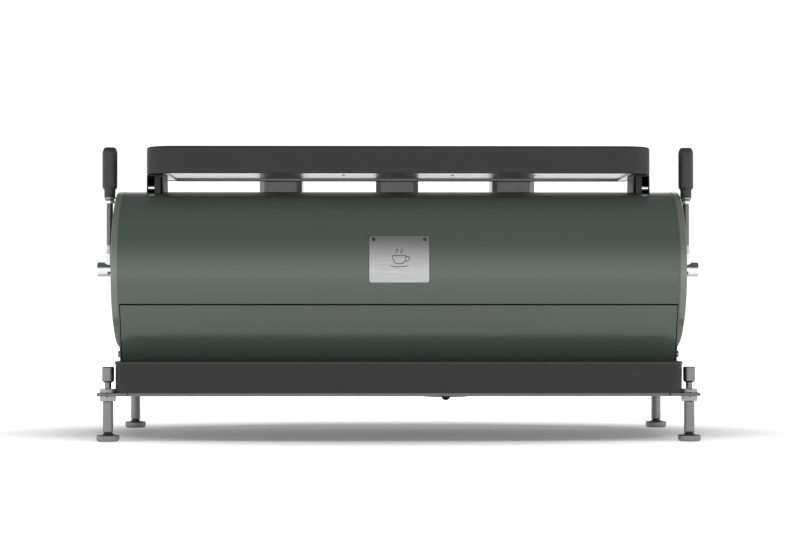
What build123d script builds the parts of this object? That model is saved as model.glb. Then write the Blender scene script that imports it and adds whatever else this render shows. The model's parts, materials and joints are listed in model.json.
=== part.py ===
from build123d import *
import os
from math import asin, cos, degrees, radians, sin, sqrt, tan

# Three-group espresso machine: a painted horizontal barrel on a shallow black base, with a cup tray
# above it, three brewing groups and two steam wands in front, and a steam lever at each end.
#
# Millimetres. +Z is up and Z = 0 is the surface that the feet stand on. -Y is the customer's side, the
# plain back of the barrel with the nameplate; +Y is the barista's side. X = 0 is the machine's middle.
# The origin is on that surface, under the middle of the machine's bounding box.

# Driving sizes

# base
base_depth = 480.0
base_corner = 20.0
base_overhang = 5.9          # base wall beyond the end of the painted panels, each side
chassis_underside = 75.0     # clear height under the machine
chassis_thick = 5.0
base_wall_height = 47.0
base_wall = 2.0
lid_height = 5.0
lid_sheet = 1.5
lid_lip = 1.5                # lid beyond the base wall

# levelling feet
stem_radius = 8.6
stud_radius = 5.5
pad_radius = 19.0
pad_height = 11.0
pad_boss_height = 3.0
foot_cap_radius = 10.0
foot_cap_height = 26.0
nut_flats = 25.0
upper_nut_height = 6.6
lower_nut_height = 8.6
foot_travel = 10.0
foot_inset = 25.0            # foot axis from the base's rear and front walls
tab_reach = 16.7             # chassis tab beyond the foot axis
tab_half_width = 21.0
tab_corner = 6.0
notch_from_end = 22.0        # narrow slot in the chassis's rear edge beside each tab
notch_length = 9.0

# barrel
barrel_length = 921.2
barrel_axis_z = 285.0
ring_radius = 132.0
shell_step = 0.5             # the painted shell lies this far inside the end rings
shell_wall = 1.5
seam_gap = 2.5
seam_angle = 27.0            # rear seam below the barrel's axis
skirt_angle = 23.5           # lean of the lower panels
top_seam_angle = 65.0        # front seam above the barrel's axis
side_plate_thick = 2.5
ring_thick = 10.0
ring_width = 19.0
cover_thick = 3.0
cover_boss_radius = 20.0
cover_boss_height = 7.0

# inside the barrel
bulkhead_x = 150.0
bulkhead_thick = 2.0
bulkhead_inset = 16.0
steam_boiler_radius = 72.0
steam_boiler_half = 190.0
steam_boiler_wall = 3.0
boiler_drop = 8.0            # boiler's axis below the barrel's
pump_radius = 26.0
motor_radius = 46.0
motor_length = 126.0
gauge_x = 312.0
gauge_radius = 27.0
gauge_bezel = 33.0

# nameplate
plate_width = 98.0
plate_low = 23.5             # below the barrel's axis
plate_high = 53.5            # above it
plate_thick = 1.5
plate_corner = 4.0

# cup tray
tray_inset = 36.4            # tray end inside the barrel's end
tray_rear_inset = 56.0       # tray's rear face in front of the base's rear wall
tray_underside_z = 444.0
tray_height = 46.0
tray_corner = 50.0
tray_wall = 2.5
tray_rim = 7.0
tray_deck_drop = 5.0
tray_recess = 3.5
tray_recess_end = 34.0
bracket_reach = 114.0        # bracket's foot along Y
bracket_behind = 32.0        # its rear end behind the barrel's axis
bracket_plate = 1.8          # outer plate, flush with the tray's end
bracket_bay = 11.3           # open bay between the outer plate and the web
bracket_web = 10.0
spacer_radius = 5.0
spacer_height = 6.0          # spacer's axis above the top of the barrel

# groups
group_count = 3
group_pitch = 207.0
neck_gap = 40.0              # barrel's front to the group housing
housing_width = 75.0
housing_depth = 116.0
housing_chamfer = 9.0
housing_wall = 3.0
housing_bottom_z = 336.0
housing_top_z = 462.0
group_forward = 6.0          # group's axis in front of the housing's middle
neck_radius = 26.0
neck_z = 372.0
tray_to_housing = 4.0
head_radius = 44.0
head_height = 40.0
bayonet_height = 6.0
boiler_radius = 27.0
boiler_height = 100.0
gasket_above_bayonet = 14.0
gasket_height = 8.0

# portafilters
filter_radius = 34.6         # outside of the portafilter's bowl
bowl_depth = 47.0
neck_bar_radius = 8.5
neck_below_head = 3.0        # room for the ferrule when the handle turns under the group head
ferrule_wall = 2.0
ferrule_length = 9.0
lug_reach = 3.8
lug_half_angle = 20.0
lug_height = 7.0
lug_clearance = 0.8
unlock_angle = 45.0
basket_radius = 30.6
basket_depth = 26.0
basket_sheet = 0.8
basket_rim = 1.2
handle_start = 64.0          # from the group's axis
handle_length = 128.0
handle_radius = 14.0
handle_tilt = 8.0
spout_half = 20.0
spout_radius = 5.6
spout_drop = 22.0

# steam levers
hub_radius = 12.35
hub_length = 36.0
spindle_radius = 7.0
lever_x_from_hub = 15.8
lever_neck_top = 41.5        # above the barrel's axis
lever_neck_radius = 9.6
rod_radius = 5.5
rod_length = 81.0
collar_radius = 8.8
collar_length = 11.0
grip_radius = 12.7
grip_neck_radius = 9.5
grip_length = 84.5

# steam wands and hot water
wand_x = 398.0
wand_from_barrel = 56.0      # ball axis in front of the barrel
ball_z = 336.0
ball_radius = 10.0
ball_to_shoulder = 4.0       # arm's shoulder above the top of the ball
shoulder_to_arm = 13.0       # arm's axis above its shoulder
spigot_length = 2.5
spigot_radius = 6.0
wand_radius = 4.5
wand_collar_wall = 4.0       # collar outside the ball
arm_radius = 9.0
tip_length = 20.0
water_arm_radius = 7.0
water_spigot_radius = 5.0

# drip tray
drip_side_margin = 34.0
drip_front_margin = 12.0
drip_barrel_gap = 10.0       # the tray's rear wall in front of the barrel, so that it lifts out past it
drip_depth = 40.0
drip_sheet = 1.2
drip_flange = 6.0
drain_hole_radius = 14.0
grille_height = 4.0

# fits
running = 0.08               # radial clearance of turning parts
sliding = 0.3                # clearance between faces that pass each other
seat = 0.1                   # parts set face to face on different bodies

# Worked-out places
base_half = barrel_length / 2 + base_overhang
wall_z = chassis_underside + chassis_thick
lid_z = wall_z + base_wall_height
base_top = lid_z + lid_height

shell_radius = ring_radius - shell_step
plate_proud = shell_radius + plate_thick - ring_radius
housing_from_rear = 2 * ring_radius + neck_gap
group_from_rear = housing_from_rear + housing_depth / 2 + group_forward
handle_tip = handle_start + handle_length * cos(radians(handle_tilt)) + handle_radius
rear_proud = max(plate_proud, lid_lip)        # whatever stands out furthest behind the rear wall
overall_depth = rear_proud + group_from_rear + handle_tip
rear_y = rear_proud - overall_depth / 2       # the base's rear wall

front_y = rear_y + base_depth
barrel_y = rear_y + ring_radius
housing_rear_y = rear_y + housing_from_rear
group_y = rear_y + group_from_rear
group_xs = [(i - (group_count - 1) / 2) * group_pitch for i in range(group_count)]

panel_half = barrel_length / 2
side_plate_x = panel_half
ring_x = side_plate_x + side_plate_thick
ring_face_x = ring_x + ring_thick
hub_x = ring_face_x + 0.7

nut_corner = nut_flats / 2 / cos(radians(30))
foot_x = base_half + nut_flats / 2 + sliding
foot_ys = {"rear": rear_y + foot_inset, "front": front_y - foot_inset}

seam_z = barrel_axis_z - shell_radius * sin(radians(seam_angle))
seam_reach = shell_radius * cos(radians(seam_angle))
foot_reach = seam_reach - (seam_z - base_top) * tan(radians(skirt_angle))

boiler_z = barrel_axis_z - boiler_drop

tray_half = barrel_length / 2 - tray_inset
tray_rear_y = rear_y + tray_rear_inset
tray_front_y = housing_rear_y - tray_to_housing
tray_mid_y = (tray_rear_y + tray_front_y) / 2
tray_depth = tray_front_y - tray_rear_y
tray_top_z = tray_underside_z + tray_height

head_bottom_z = housing_bottom_z - head_height
bayonet_z = head_bottom_z + bayonet_height
cavity_radius = filter_radius + lug_reach + lug_clearance
gasket_z = bayonet_z + gasket_above_bayonet
gasket_inner = basket_radius
handle_z = head_bottom_z - neck_bar_radius - neck_below_head

wand_y = barrel_y + ring_radius + wand_from_barrel
wand_collar_radius = ball_radius + wand_collar_wall
shoulder_z = ball_z + ball_radius + ball_to_shoulder
arm_z = shoulder_z + shoulder_to_arm
water_x = group_pitch / 2

drip_half = base_half - drip_side_margin
drip_rear_y = barrel_y + ring_radius + drip_barrel_gap
drip_front_y = front_y - drip_front_margin
drip_mid_y = (drip_rear_y + drip_front_y) / 2
drip_length = drip_front_y - drip_rear_y
drip_corner = 12.0
drain_x = 87.0
drain_y = drip_rear_y + 45.0
drain_flange_radius = 43.6

sides = {"left": -1, "right": 1}


# Helpers
def across(profile, x0, x1):
    """A profile drawn in Y and Z, extruded from x0 to x1."""
    return extrude(Plane.YZ.offset(x0) * profile, amount=x1 - x0)


def block(x0, x1, y0, y1, z0, z1):
    return Pos((x0 + x1) / 2, (y0 + y1) / 2, (z0 + z1) / 2) * Box(x1 - x0, y1 - y0, z1 - z0)


def upright(radius, z0, z1, x=0.0, y=0.0):
    return Pos(x, y, (z0 + z1) / 2) * Cylinder(radius, z1 - z0)


def along_x(radius, x0, x1, y, z):
    return Pos((x0 + x1) / 2, y, z) * Rot(0, 90, 0) * Cylinder(radius, abs(x1 - x0))


def along_y(radius, y0, y1, x, z):
    return Pos(x, (y0 + y1) / 2, z) * Rot(90, 0, 0) * Cylinder(radius, abs(y1 - y0))


def slab(half_x, y0, y1, z0, z1, corner):
    """A flat plate with rounded corners, seen from above."""
    outline = RectangleRounded(2 * half_x, y1 - y0, corner)
    return Pos(0, (y0 + y1) / 2, z0) * extrude(outline, amount=z1 - z0)


def turned(points):
    """A solid of revolution about Z, from (radius, height) points."""
    return revolve(Plane.XZ * make_face(Polyline(*points, close=True)), Axis.Z)


def group(solids):
    """Separate solids that share one node."""
    return Compound(children=[s for part in solids for s in part.solids()])


def on_barrel(angle, radius):
    """Y and Z of a point on the barrel, at an angle from the barista's side over the top."""
    return (barrel_y + radius * cos(radians(angle)), barrel_axis_z + radius * sin(radians(angle)))


def barrel_arc(radius, start, end):
    return CenterArc((barrel_y, barrel_axis_z), radius, start, end - start)


def end_outline(inset):
    """The barrel's end seen along X: a circle with a skirt down to the base."""
    reach = seam_reach - inset
    lean = (seam_z - base_top) * tan(radians(skirt_angle))
    skirt = Polyline(
        (barrel_y - reach, seam_z),
        (barrel_y + reach, seam_z),
        (barrel_y + reach - lean, base_top),
        (barrel_y - reach + lean, base_top),
        close=True,
    )
    return Pos(barrel_y, barrel_axis_z) * Circle(ring_radius - inset) + make_face(skirt)


# Base
def base_frame():
    """Chassis plate with a tab at each corner that reaches out to a foot."""
    plate = slab(base_half, rear_y, front_y, chassis_underside, wall_z, base_corner)
    for y in foot_ys.values():
        plate += slab(
            foot_x + tab_reach, y - tab_half_width, y + tab_half_width, chassis_underside, wall_z, tab_corner
        )
        for side in sides.values():
            plate -= upright(stud_radius + 0.7, 0, wall_z + 1, side * foot_x, y)
    for side in sides.values():
        x = side * (base_half - notch_from_end)
        plate -= block(x - 1, x + 1, rear_y - 1, rear_y + notch_length, 0, wall_z + 1)
    plate -= upright(drain_flange_radius - 8.0, 0, wall_z + 1, drain_x, drain_y)
    return plate


def base_surround():
    outer = slab(base_half, rear_y, front_y, wall_z, lid_z, base_corner)
    inner = slab(
        base_half - base_wall, rear_y + base_wall, front_y - base_wall,
        wall_z - 1, lid_z + 1, base_corner - base_wall,
    )
    return outer - inner


def base_lid():
    lip = lid_lip
    outer = slab(base_half + lip, rear_y - lip, front_y + lip, lid_z, base_top, base_corner + lip)
    outer = fillet(outer.faces().sort_by(Axis.Z)[-1].edges(), 1.2)
    hollow = slab(
        base_half + lip - lid_sheet, rear_y - lip + lid_sheet, front_y + lip - lid_sheet,
        lid_z - 1, base_top - lid_sheet, base_corner + lip - lid_sheet,
    )
    # the lid rests on the wall's top, so only the part outside the wall hangs lower
    hollow -= slab(base_half, rear_y, front_y, lid_z, base_top, base_corner) - slab(
        base_half - base_wall, rear_y + base_wall, front_y - base_wall,
        lid_z, base_top, base_corner - base_wall,
    )
    opening = slab(drip_half, drip_rear_y, drip_front_y, lid_z - 1, base_top + 1, drip_corner)
    return outer - hollow - opening


def foot_nuts():
    made = []
    nut = Rot(0, 0, 30) * RegularPolygon(nut_corner, 6)      # a flat faces the base's wall
    bore = Circle(stud_radius + running)
    for y in foot_ys.values():
        for side in sides.values():
            for z, height in (
                (wall_z, upper_nut_height),
                (chassis_underside - lower_nut_height, lower_nut_height),
            ):
                body = extrude(nut, amount=height)
                crown = turned([
                    (0, 0), (nut_corner - 1.6, 0), (nut_corner, 1.4),
                    (nut_corner, height - 1.4), (nut_corner - 1.6, height), (0, height),
                ])
                body = (body & crown) - extrude(bore, amount=height)
                made.append(Pos(side * foot_x, y, z) * body)
    return group(made)


def levelling_foot(side, y):
    """Pad, stem with its stud, and the turning cap on top: three pieces."""
    stem_top = chassis_underside - lower_nut_height - seat
    cap_bottom = wall_z + upper_nut_height + foot_travel + 0.3
    stud_top = cap_bottom + foot_cap_height - 6.0
    pad = turned([
        (0, 0), (pad_radius - 3.2, 0), (pad_radius, 3.4), (pad_radius, pad_height - 2.4),
        (pad_radius - 2.4, pad_height - 0.8), (stem_radius + 3.0, pad_height),
        (stem_radius - 2.0, pad_height + pad_boss_height), (0, pad_height + pad_boss_height),
    ])
    stem = turned([
        (0, pad_height + pad_boss_height), (stem_radius - 2.0, pad_height + pad_boss_height),
        (stem_radius, pad_height + pad_boss_height + 2.0), (stem_radius, stem_top),
        (stud_radius, stem_top), (stud_radius, stud_top), (0, stud_top),
    ])
    cap = turned([
        (stud_radius, cap_bottom), (foot_cap_radius - 3.0, cap_bottom),
        (foot_cap_radius, cap_bottom + 3.0), (foot_cap_radius, cap_bottom + foot_cap_height - 1.0),
        (foot_cap_radius - 1.0, cap_bottom + foot_cap_height), (0, cap_bottom + foot_cap_height),
        (0, stud_top), (stud_radius, stud_top),
    ])
    return group([Pos(side * foot_x, y, 0) * piece for piece in (pad, stem, cap)])


def drain_cup():
    """Sump below the chassis that the drip tray empties into, with its outlet stub."""
    flange_z = chassis_underside - 12.5
    rim = drain_flange_radius
    cup = turned([
        (0, flange_z), (rim - 1.5, flange_z), (rim, flange_z + 1.2),
        (rim, flange_z + 3.0), (rim - 3, chassis_underside), (rim - 12, chassis_underside),
        (rim - 14, flange_z + 3.0), (0, flange_z + 3.0),
    ])
    stub_radius = 8.2
    stub = Pos(0, 0, flange_z + 1.0) * (
        Sphere(stub_radius) & Pos(0, 0, -stub_radius) * Box(50, 50, 2 * stub_radius)
    )
    return Pos(drain_x, drain_y, 0) * (cup + stub)


# Drip tray
def drip_tray():
    """Folded pan with a drain hole, and the flat rim that is welded on and hangs on the lid."""
    gap = 0.8
    inset = gap + drip_sheet
    bottom = base_top - drip_depth
    rim_z = base_top + seat

    def outline(out, z0, z1):
        """The tray's outline, a distance outside the lid's opening."""
        return slab(drip_half + out, drip_rear_y - out, drip_front_y + out, z0, z1, drip_corner + out)

    pan = outline(-gap, bottom, rim_z) - outline(-inset, bottom + drip_sheet, rim_z + 1)
    pan -= upright(drain_hole_radius, bottom - 1, bottom + drip_sheet + 1, drain_x, drain_y)
    rim = outline(drip_flange, rim_z, rim_z + drip_sheet) - outline(-inset, rim_z - 1, rim_z + drip_sheet + 1)
    return group([pan, rim])


def drip_grille():
    z = base_top + 2 * seat + drip_sheet
    lip = drip_flange - 1.0
    plate = slab(
        drip_half + lip, drip_rear_y - lip, drip_front_y + lip,
        z, z + grille_height, drip_corner + lip,
    )
    plate = fillet(plate.faces().sort_by(Axis.Z)[-1].edges(), 1.0)
    bays = 4
    bay = 2 * (drip_half - 6.0) / bays
    rows = 13
    row_pitch = (drip_length - 14.0) / rows
    slot = extrude(SlotOverall(bay - 10.0, 0.55 * row_pitch), amount=grille_height + 2)
    cutters = []
    for b in range(bays):
        for r in range(rows):
            x = (b - (bays - 1) / 2) * bay
            y = drip_mid_y + (r - (rows - 1) / 2) * row_pitch
            cutters.append(Pos(x, y, z - 1) * slot)
    return plate - cutters


# Barrel
def rear_upper_panel():
    start = top_seam_angle + degrees(seam_gap / 2 / shell_radius)
    end = 180 + seam_angle - degrees(seam_gap / 2 / shell_radius)
    inner = shell_radius - shell_wall
    outline = make_face([
        barrel_arc(shell_radius, start, end),
        Line(on_barrel(end, shell_radius), on_barrel(end, inner)),
        barrel_arc(inner, start, end),
        Line(on_barrel(start, inner), on_barrel(start, shell_radius)),
    ])
    shell = across(outline, -panel_half, panel_half)
    for cut in nameplate_screw_holes(1.6):
        shell -= cut
    return shell


def skirt_line(sign, inset, top_z):
    """Two ends of a lower panel's face, from top_z down to the base."""
    reach = seam_reach - inset / cos(radians(skirt_angle))
    drop = (seam_z - top_z) * tan(radians(skirt_angle))
    lean = (seam_z - base_top) * tan(radians(skirt_angle))
    return (
        (barrel_y + sign * (reach - drop), top_z),
        (barrel_y + sign * (reach - lean), base_top),
    )


def rear_lower_panel():
    """Removable service panel with a folded top and bottom edge."""
    top = seam_z - seam_gap / 2
    a, b = skirt_line(-1, 0, top)
    d, c = skirt_line(-1, shell_wall, top)
    outline = make_face(Polyline(a, b, c, d, close=True))
    fold = make_face(Polyline(d, (d[0] + 12, d[1]), (d[0] + 12, d[1] - shell_wall),
                              (d[0], d[1] - shell_wall), close=True))
    half = panel_half - 1.5
    return across(outline + fold, -half, half)


def front_panel():
    start = -seam_angle
    end = top_seam_angle - degrees(seam_gap / 2 / shell_radius)
    inner = shell_radius - shell_wall
    top_z = on_barrel(start, shell_radius)[1]
    a, b = skirt_line(1, 0, top_z)
    d, c = skirt_line(1, shell_wall, on_barrel(start, inner)[1])
    outline = make_face([
        barrel_arc(shell_radius, start, end),
        Line(on_barrel(end, shell_radius), on_barrel(end, inner)),
        barrel_arc(inner, start, end),
        Line(on_barrel(start, inner), c),
        Line(c, b),
        Line(b, on_barrel(start, shell_radius)),
    ])
    panel = across(outline, -panel_half, panel_half)
    for x in group_xs:
        panel -= along_y(neck_radius + sliding, barrel_y, barrel_y + 2 * ring_radius, x, neck_z)
    for x in (-wand_x, wand_x):
        panel -= along_y(arm_radius + sliding, barrel_y, barrel_y + 2 * ring_radius, x, arm_z)
    panel -= along_y(water_arm_radius + sliding, barrel_y, barrel_y + 2 * ring_radius, water_x, arm_z)
    panel -= along_y(gauge_radius + sliding, barrel_y, barrel_y + 2 * ring_radius, -gauge_x, barrel_axis_z)
    return panel


def frame_plates():
    """The two end plates and the two inner bulkheads that carry the boiler."""
    made = []
    half = bulkhead_thick / 2
    for side in sides.values():
        end = across(end_outline(0.0), side * side_plate_x, side * (side_plate_x + side_plate_thick))
        end -= along_x(spindle_radius + 1.0, -2 * panel_half, 2 * panel_half, barrel_y, barrel_axis_z)
        made.append(end)
        x = side * bulkhead_x
        inner = across(end_outline(bulkhead_inset), x - half, x + half)
        inner -= along_x(steam_boiler_radius + seat, -2 * panel_half, 2 * panel_half, barrel_y, boiler_z)
        made.append(inner)
    return group(made)


def side_rings():
    made = []
    for side in sides.values():
        outline = Pos(barrel_y, barrel_axis_z) * (Circle(ring_radius) - Circle(ring_radius - ring_width))
        ring = across(outline, side * ring_x, side * ring_face_x)
        face = ring.faces().sort_by(Axis.X)[-1 if side > 0 else 0]
        made.append(chamfer(face.edges(), 1.2))
    return group(made)


def side_covers():
    made = []
    radius = ring_radius - ring_width - 0.2
    for side in sides.values():
        disc = along_x(radius, side * ring_x, side * (ring_x + cover_thick), barrel_y, barrel_axis_z)
        disc += along_x(
            cover_boss_radius, side * ring_x, side * (ring_x + cover_boss_height), barrel_y, barrel_axis_z
        )
        disc -= along_x(spindle_radius + running, -2 * panel_half, 2 * panel_half, barrel_y, barrel_axis_z)
        made.append(disc)
    return group(made)


def steam_boiler():
    """Horizontal pressure vessel with rounded ends and a heating-element flange."""
    r, w, half = steam_boiler_radius, steam_boiler_wall, steam_boiler_half
    shell = fillet(Cylinder(r, 2 * half).edges(), 28.0)
    hollow = fillet(Cylinder(r - w, 2 * (half - w)).edges(), 28.0 - w)
    vessel = shell - hollow + Pos(0, 0, half + 3.0) * Cylinder(30.0, 10.0)
    return Pos(0, barrel_y, boiler_z) * Rot(0, 90, 0) * vessel


def pump_motor():
    """Motor and rotary pump on one shaft line, on a foot that stands on the base's lid."""
    x = -steam_boiler_half - 30.0
    z = base_top + motor_radius + 12.0
    pump_x = x - motor_length
    unit = along_x(motor_radius, pump_x, x, barrel_y, z)
    unit += along_x(pump_radius, pump_x - 50.0, pump_x, barrel_y, z)
    unit += along_x(9.0, pump_x - 64.0, pump_x - 50.0, barrel_y, z)
    unit += block(pump_x + 20.0, x - 20.0, barrel_y - 30.0, barrel_y + 30.0, base_top, z - 34.0)
    return unit


def pressure_gauge():
    """Round gauge let into the barrel's front: its case with a bezel, and the glass."""
    apex = barrel_y + shell_radius
    bezel_back = apex + 0.3
    bezel_front = bezel_back + 11.0
    case = along_y(gauge_radius, apex - 24.0, bezel_back, 0, barrel_axis_z)
    bezel = along_y(gauge_bezel, bezel_back, bezel_front, 0, barrel_axis_z)
    bezel = fillet(bezel.faces().sort_by(Axis.Y)[-1].edges(), 2.5)
    well = along_y(gauge_bezel - 5.0, bezel_front - 6.0, bezel_front + 1.0, 0, barrel_axis_z)
    glass = along_y(gauge_bezel - 5.0, bezel_front - 3.0, bezel_front - 1.0, 0, barrel_axis_z)
    pin = along_y(3.0, bezel_front - 6.0, bezel_front - 3.0, 0, barrel_axis_z)
    return group([Pos(-gauge_x, 0, 0) * piece for piece in (case + bezel - well + pin, glass)])


# Nameplate and screws
def nameplate_screw_holes(radius):
    """Cutters along the two nameplate screws, square to the barrel."""
    angle = degrees(asin((plate_high - 6.5) / shell_radius))
    made = []
    for x in (-plate_width / 2 + 7.0, plate_width / 2 - 7.0):
        tool = Pos(0, 0, shell_radius) * Cylinder(radius, 20)
        made.append(Pos(x, barrel_y, barrel_axis_z) * Rot(90 - angle, 0, 0) * tool)
    return made


def nameplate():
    outer = shell_radius + plate_thick
    low = 180 + degrees(asin(plate_low / outer))
    high = 180 - degrees(asin(plate_high / outer))
    outline = make_face([
        barrel_arc(outer, high, low),
        Line(on_barrel(low, outer), on_barrel(low, shell_radius)),
        barrel_arc(shell_radius, high, low),
        Line(on_barrel(high, shell_radius), on_barrel(high, outer)),
    ])
    plate = across(outline, -plate_width / 2, plate_width / 2)
    corners = [e for e in plate.edges().filter_by(GeomType.LINE) if e.length < 2 * plate_thick]
    plate = fillet(corners, plate_corner)
    for cut in nameplate_screw_holes(2.9):
        plate -= cut
    return plate


def panel_screws():
    made = []
    angle = degrees(asin((plate_high - 6.5) / shell_radius))
    for x in (-plate_width / 2 + 7.0, plate_width / 2 - 7.0):
        head_low = shell_radius + 0.4
        screw = upright(2.75, head_low, shell_radius + plate_thick + 0.9)
        screw += upright(1.5, shell_radius - shell_wall - 3, head_low)
        made.append(Pos(x, barrel_y, barrel_axis_z) * Rot(90 - angle, 0, 0) * screw)
    head_z = base_top + 11.0
    reach = foot_reach + 11.0 * tan(radians(skirt_angle)) - 12.0
    for side in sides.values():
        for sign in (-1, 1):
            y = barrel_y + sign * reach
            x = side * (side_plate_x + side_plate_thick)
            head = along_x(5.2, x, x + side * 3.0, y, head_z)
            head += along_x(3.2, x + side * 3.0, x + side * 4.0, y, head_z)
            made.append(head)
    spacer_z = barrel_axis_z + shell_radius + spacer_height
    spacer_y = bracket_rear_y() + 2 * spacer_radius
    for side in sides.values():
        x = side * (tray_half - bracket_plate)
        made.append(along_x(spacer_radius, x, x - side * bracket_bay, spacer_y, spacer_z))
    for x in underside_screw_xs():
        made.append(upright(3.0, underside_z + tray_recess - 1.2, underside_z + tray_recess, x, tray_mid_y))
    return group(made)


# Cup tray
underside_z = tray_underside_z + 1.0
underside_sheet = 1.5


def underside_screw_xs():
    return [k * (tray_half - tray_recess_end) / 2.5 for k in (-1.5, -0.6, 0.6, 1.5)]


def cup_tray():
    z0, z1 = tray_underside_z, tray_top_z
    body = slab(tray_half, tray_rear_y, tray_front_y, z0, z1, tray_corner)
    body = fillet(body.faces().sort_by(Axis.Z)[-1].edges(), 3.5)
    body = fillet(body.faces().sort_by(Axis.Z)[0].edges(), 2.0)
    rim = tray_rim
    body -= slab(
        tray_half - rim, tray_rear_y + rim, tray_front_y - rim, z1 - tray_deck_drop, z1 + 5, tray_corner - rim
    )
    w = tray_wall
    body -= slab(
        tray_half - w, tray_rear_y + w, tray_front_y - w, z0 - 1, z1 - tray_deck_drop - w, tray_corner - w
    )
    ribs = 9
    rib_pitch = (tray_depth - 2 * rim - 20) / (ribs - 1)
    for r in range(ribs):
        y = tray_mid_y + (r - (ribs - 1) / 2) * rib_pitch
        body += block(
            30 - tray_half + rim, tray_half - rim - 30, y - 1.5, y + 1.5,
            z1 - tray_deck_drop - 0.5, z1 - tray_deck_drop + 2.0,
        )
    return body


def cup_tray_underside():
    """Closing sheet with a pressed recess along its middle."""
    g = tray_wall + 0.3
    z = underside_z
    sheet = slab(tray_half - g, tray_rear_y + g, tray_front_y - g, z, z + underside_sheet, tray_corner - g)
    x = tray_half - tray_recess_end
    y0, y1 = tray_rear_y + 12.0, tray_front_y - 8.0
    s = underside_sheet
    sheet += block(-x - s, x + s, y0 - s, y1 + s, z, z + tray_recess + s)
    sheet -= block(-x, x, y0, y1, z - 1, z + tray_recess)
    return sheet


def bracket_rear_y():
    return barrel_y - bracket_behind


def tray_brackets():
    """Folded channels that stand on the barrel and carry the tray's two ends."""
    made = []
    y0 = bracket_rear_y()
    y1 = y0 + bracket_reach
    foot_z = barrel_axis_z + sqrt(shell_radius**2 - (y1 - barrel_y)**2) - 6.0
    top_z = tray_underside_z
    side_view = make_face(Polyline((y0, foot_z), (y1, foot_z), (y1 - 10, top_z), (y0 + 4, top_z), close=True))
    saddle = along_x(shell_radius, -panel_half, panel_half, barrel_y, barrel_axis_z)
    plate_x = tray_half - bracket_plate
    web_x = plate_x - bracket_bay
    rib_x = web_x - bracket_web
    part = across(side_view, plate_x, tray_half) + across(side_view, rib_x, web_x)
    part += block(web_x - 1, plate_x + 1, y1 - 18, y1 - 15, foot_z, top_z)
    part += block(rib_x - 4, tray_half, y0 + 4, y1 - 12, top_z - 2, top_z)
    rib = make_face(Polyline((rib_x - 1.5, top_z - 1), (rib_x - 3.7, top_z - 1),
                             (rib_x - 6.2, foot_z), (rib_x - 4.0, foot_z), close=True))
    part += Pos(0, y1 - 20, 0) * extrude(Plane.XZ * rib, amount=y1 - y0 - 28)
    part -= saddle
    for side in sides.values():
        made.append(part if side > 0 else mirror(part, Plane.YZ))
    return group(made)


# Groups
def chamfered_block(width, y0, y1, z0, z1, cut):
    outline = chamfer(Rectangle(width, y1 - y0).vertices(), cut)
    return Pos(0, (y0 + y1) / 2, z0) * extrude(outline, amount=z1 - z0)


def group_housings():
    made = []
    y1 = housing_rear_y + housing_depth
    w = housing_wall
    for x in group_xs:
        body = chamfered_block(
            housing_width, housing_rear_y, y1, housing_bottom_z, housing_top_z, housing_chamfer
        )
        body = fillet(body.faces().sort_by(Axis.Z)[-1].edges(), 3.0)
        body -= chamfered_block(
            housing_width - 2 * w, housing_rear_y + w, y1 - w,
            housing_bottom_z - 1, housing_top_z - w, housing_chamfer,
        )
        neck_start = barrel_y + sqrt(shell_radius**2 - (neck_z - barrel_axis_z)**2) - 40.0
        body += along_y(neck_radius, neck_start, housing_rear_y + 1, 0, neck_z)
        made.append(Pos(x, 0, 0) * body)
    return group(made)


def group_boilers():
    made = []
    z1 = housing_bottom_z + boiler_height
    for x in group_xs:
        r = boiler_radius
        vessel = turned([
            (0, housing_bottom_z), (r, housing_bottom_z), (r, z1 - 8), (r - 8, z1), (0, z1)
        ])
        made.append(Pos(x, group_y, 0) * vessel)
    return group(made)


def group_heads():
    r = head_radius
    body = turned([
        (0, housing_bottom_z), (34, housing_bottom_z), (r, housing_bottom_z - 12), (r, head_bottom_z + 1.5),
        (r - 1.5, head_bottom_z), (filter_radius + 0.4, head_bottom_z), (filter_radius + 0.4, bayonet_z),
        (cavity_radius, bayonet_z), (cavity_radius, gasket_z + gasket_height),
        (gasket_inner, gasket_z + gasket_height), (gasket_inner, gasket_z + 2.6), (0, gasket_z + 2.6),
    ])
    # two gaps in the bayonet ring let the lugs in when the handle is turned to unlock_angle
    gap = lug_half_angle + 5.0
    c, s = cavity_radius * cos(radians(gap)), cavity_radius * sin(radians(gap))
    arc = CenterArc((0, 0), cavity_radius, -gap, 2 * gap)
    sector = make_face([Line((0, 0), (c, -s)), arc, Line((c, s), (0, 0))])
    for turn in (0, 180):
        cutter = extrude(sector, amount=bayonet_height + 1)
        body -= Pos(0, 0, head_bottom_z - 0.5) * Rot(0, 0, turn - unlock_angle) * cutter
    return group([Pos(x, group_y, 0) * body for x in group_xs])


def group_gaskets():
    ring = Circle(cavity_radius - 0.1) - Circle(gasket_inner + 0.1)
    return group([Pos(x, group_y, gasket_z) * extrude(ring, amount=gasket_height) for x in group_xs])


def shower_screens():
    screen = upright(gasket_inner - 0.3, gasket_z + 0.3, gasket_z + 2.5)
    screen += upright(5.0, gasket_z - 1.4, gasket_z + 1)
    return group([Pos(x, group_y, 0) * screen for x in group_xs])


def brew_paddle(x):
    """Start lever on the front of a group: a hub and a flat blade."""
    y = housing_rear_y + housing_depth + sliding
    z = housing_top_z - 26.0
    hub = along_y(11, y, y + 12, 0, z)
    blade = make_face([
        Line((-6, 0), (-4.5, 42)), ThreePointArc((-4.5, 42), (0, 46.5), (4.5, 42)),
        Line((4.5, 42), (6, 0)), Line((6, 0), (-6, 0)),
    ])
    bar = extrude(Plane.XZ * blade, amount=-6)
    part = hub + Pos(0, y + 4, z) * bar
    part = fillet(part.faces().sort_by(Axis.Y)[-1].edges(), 1.5)
    return Pos(x, 0, 0) * part


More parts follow.
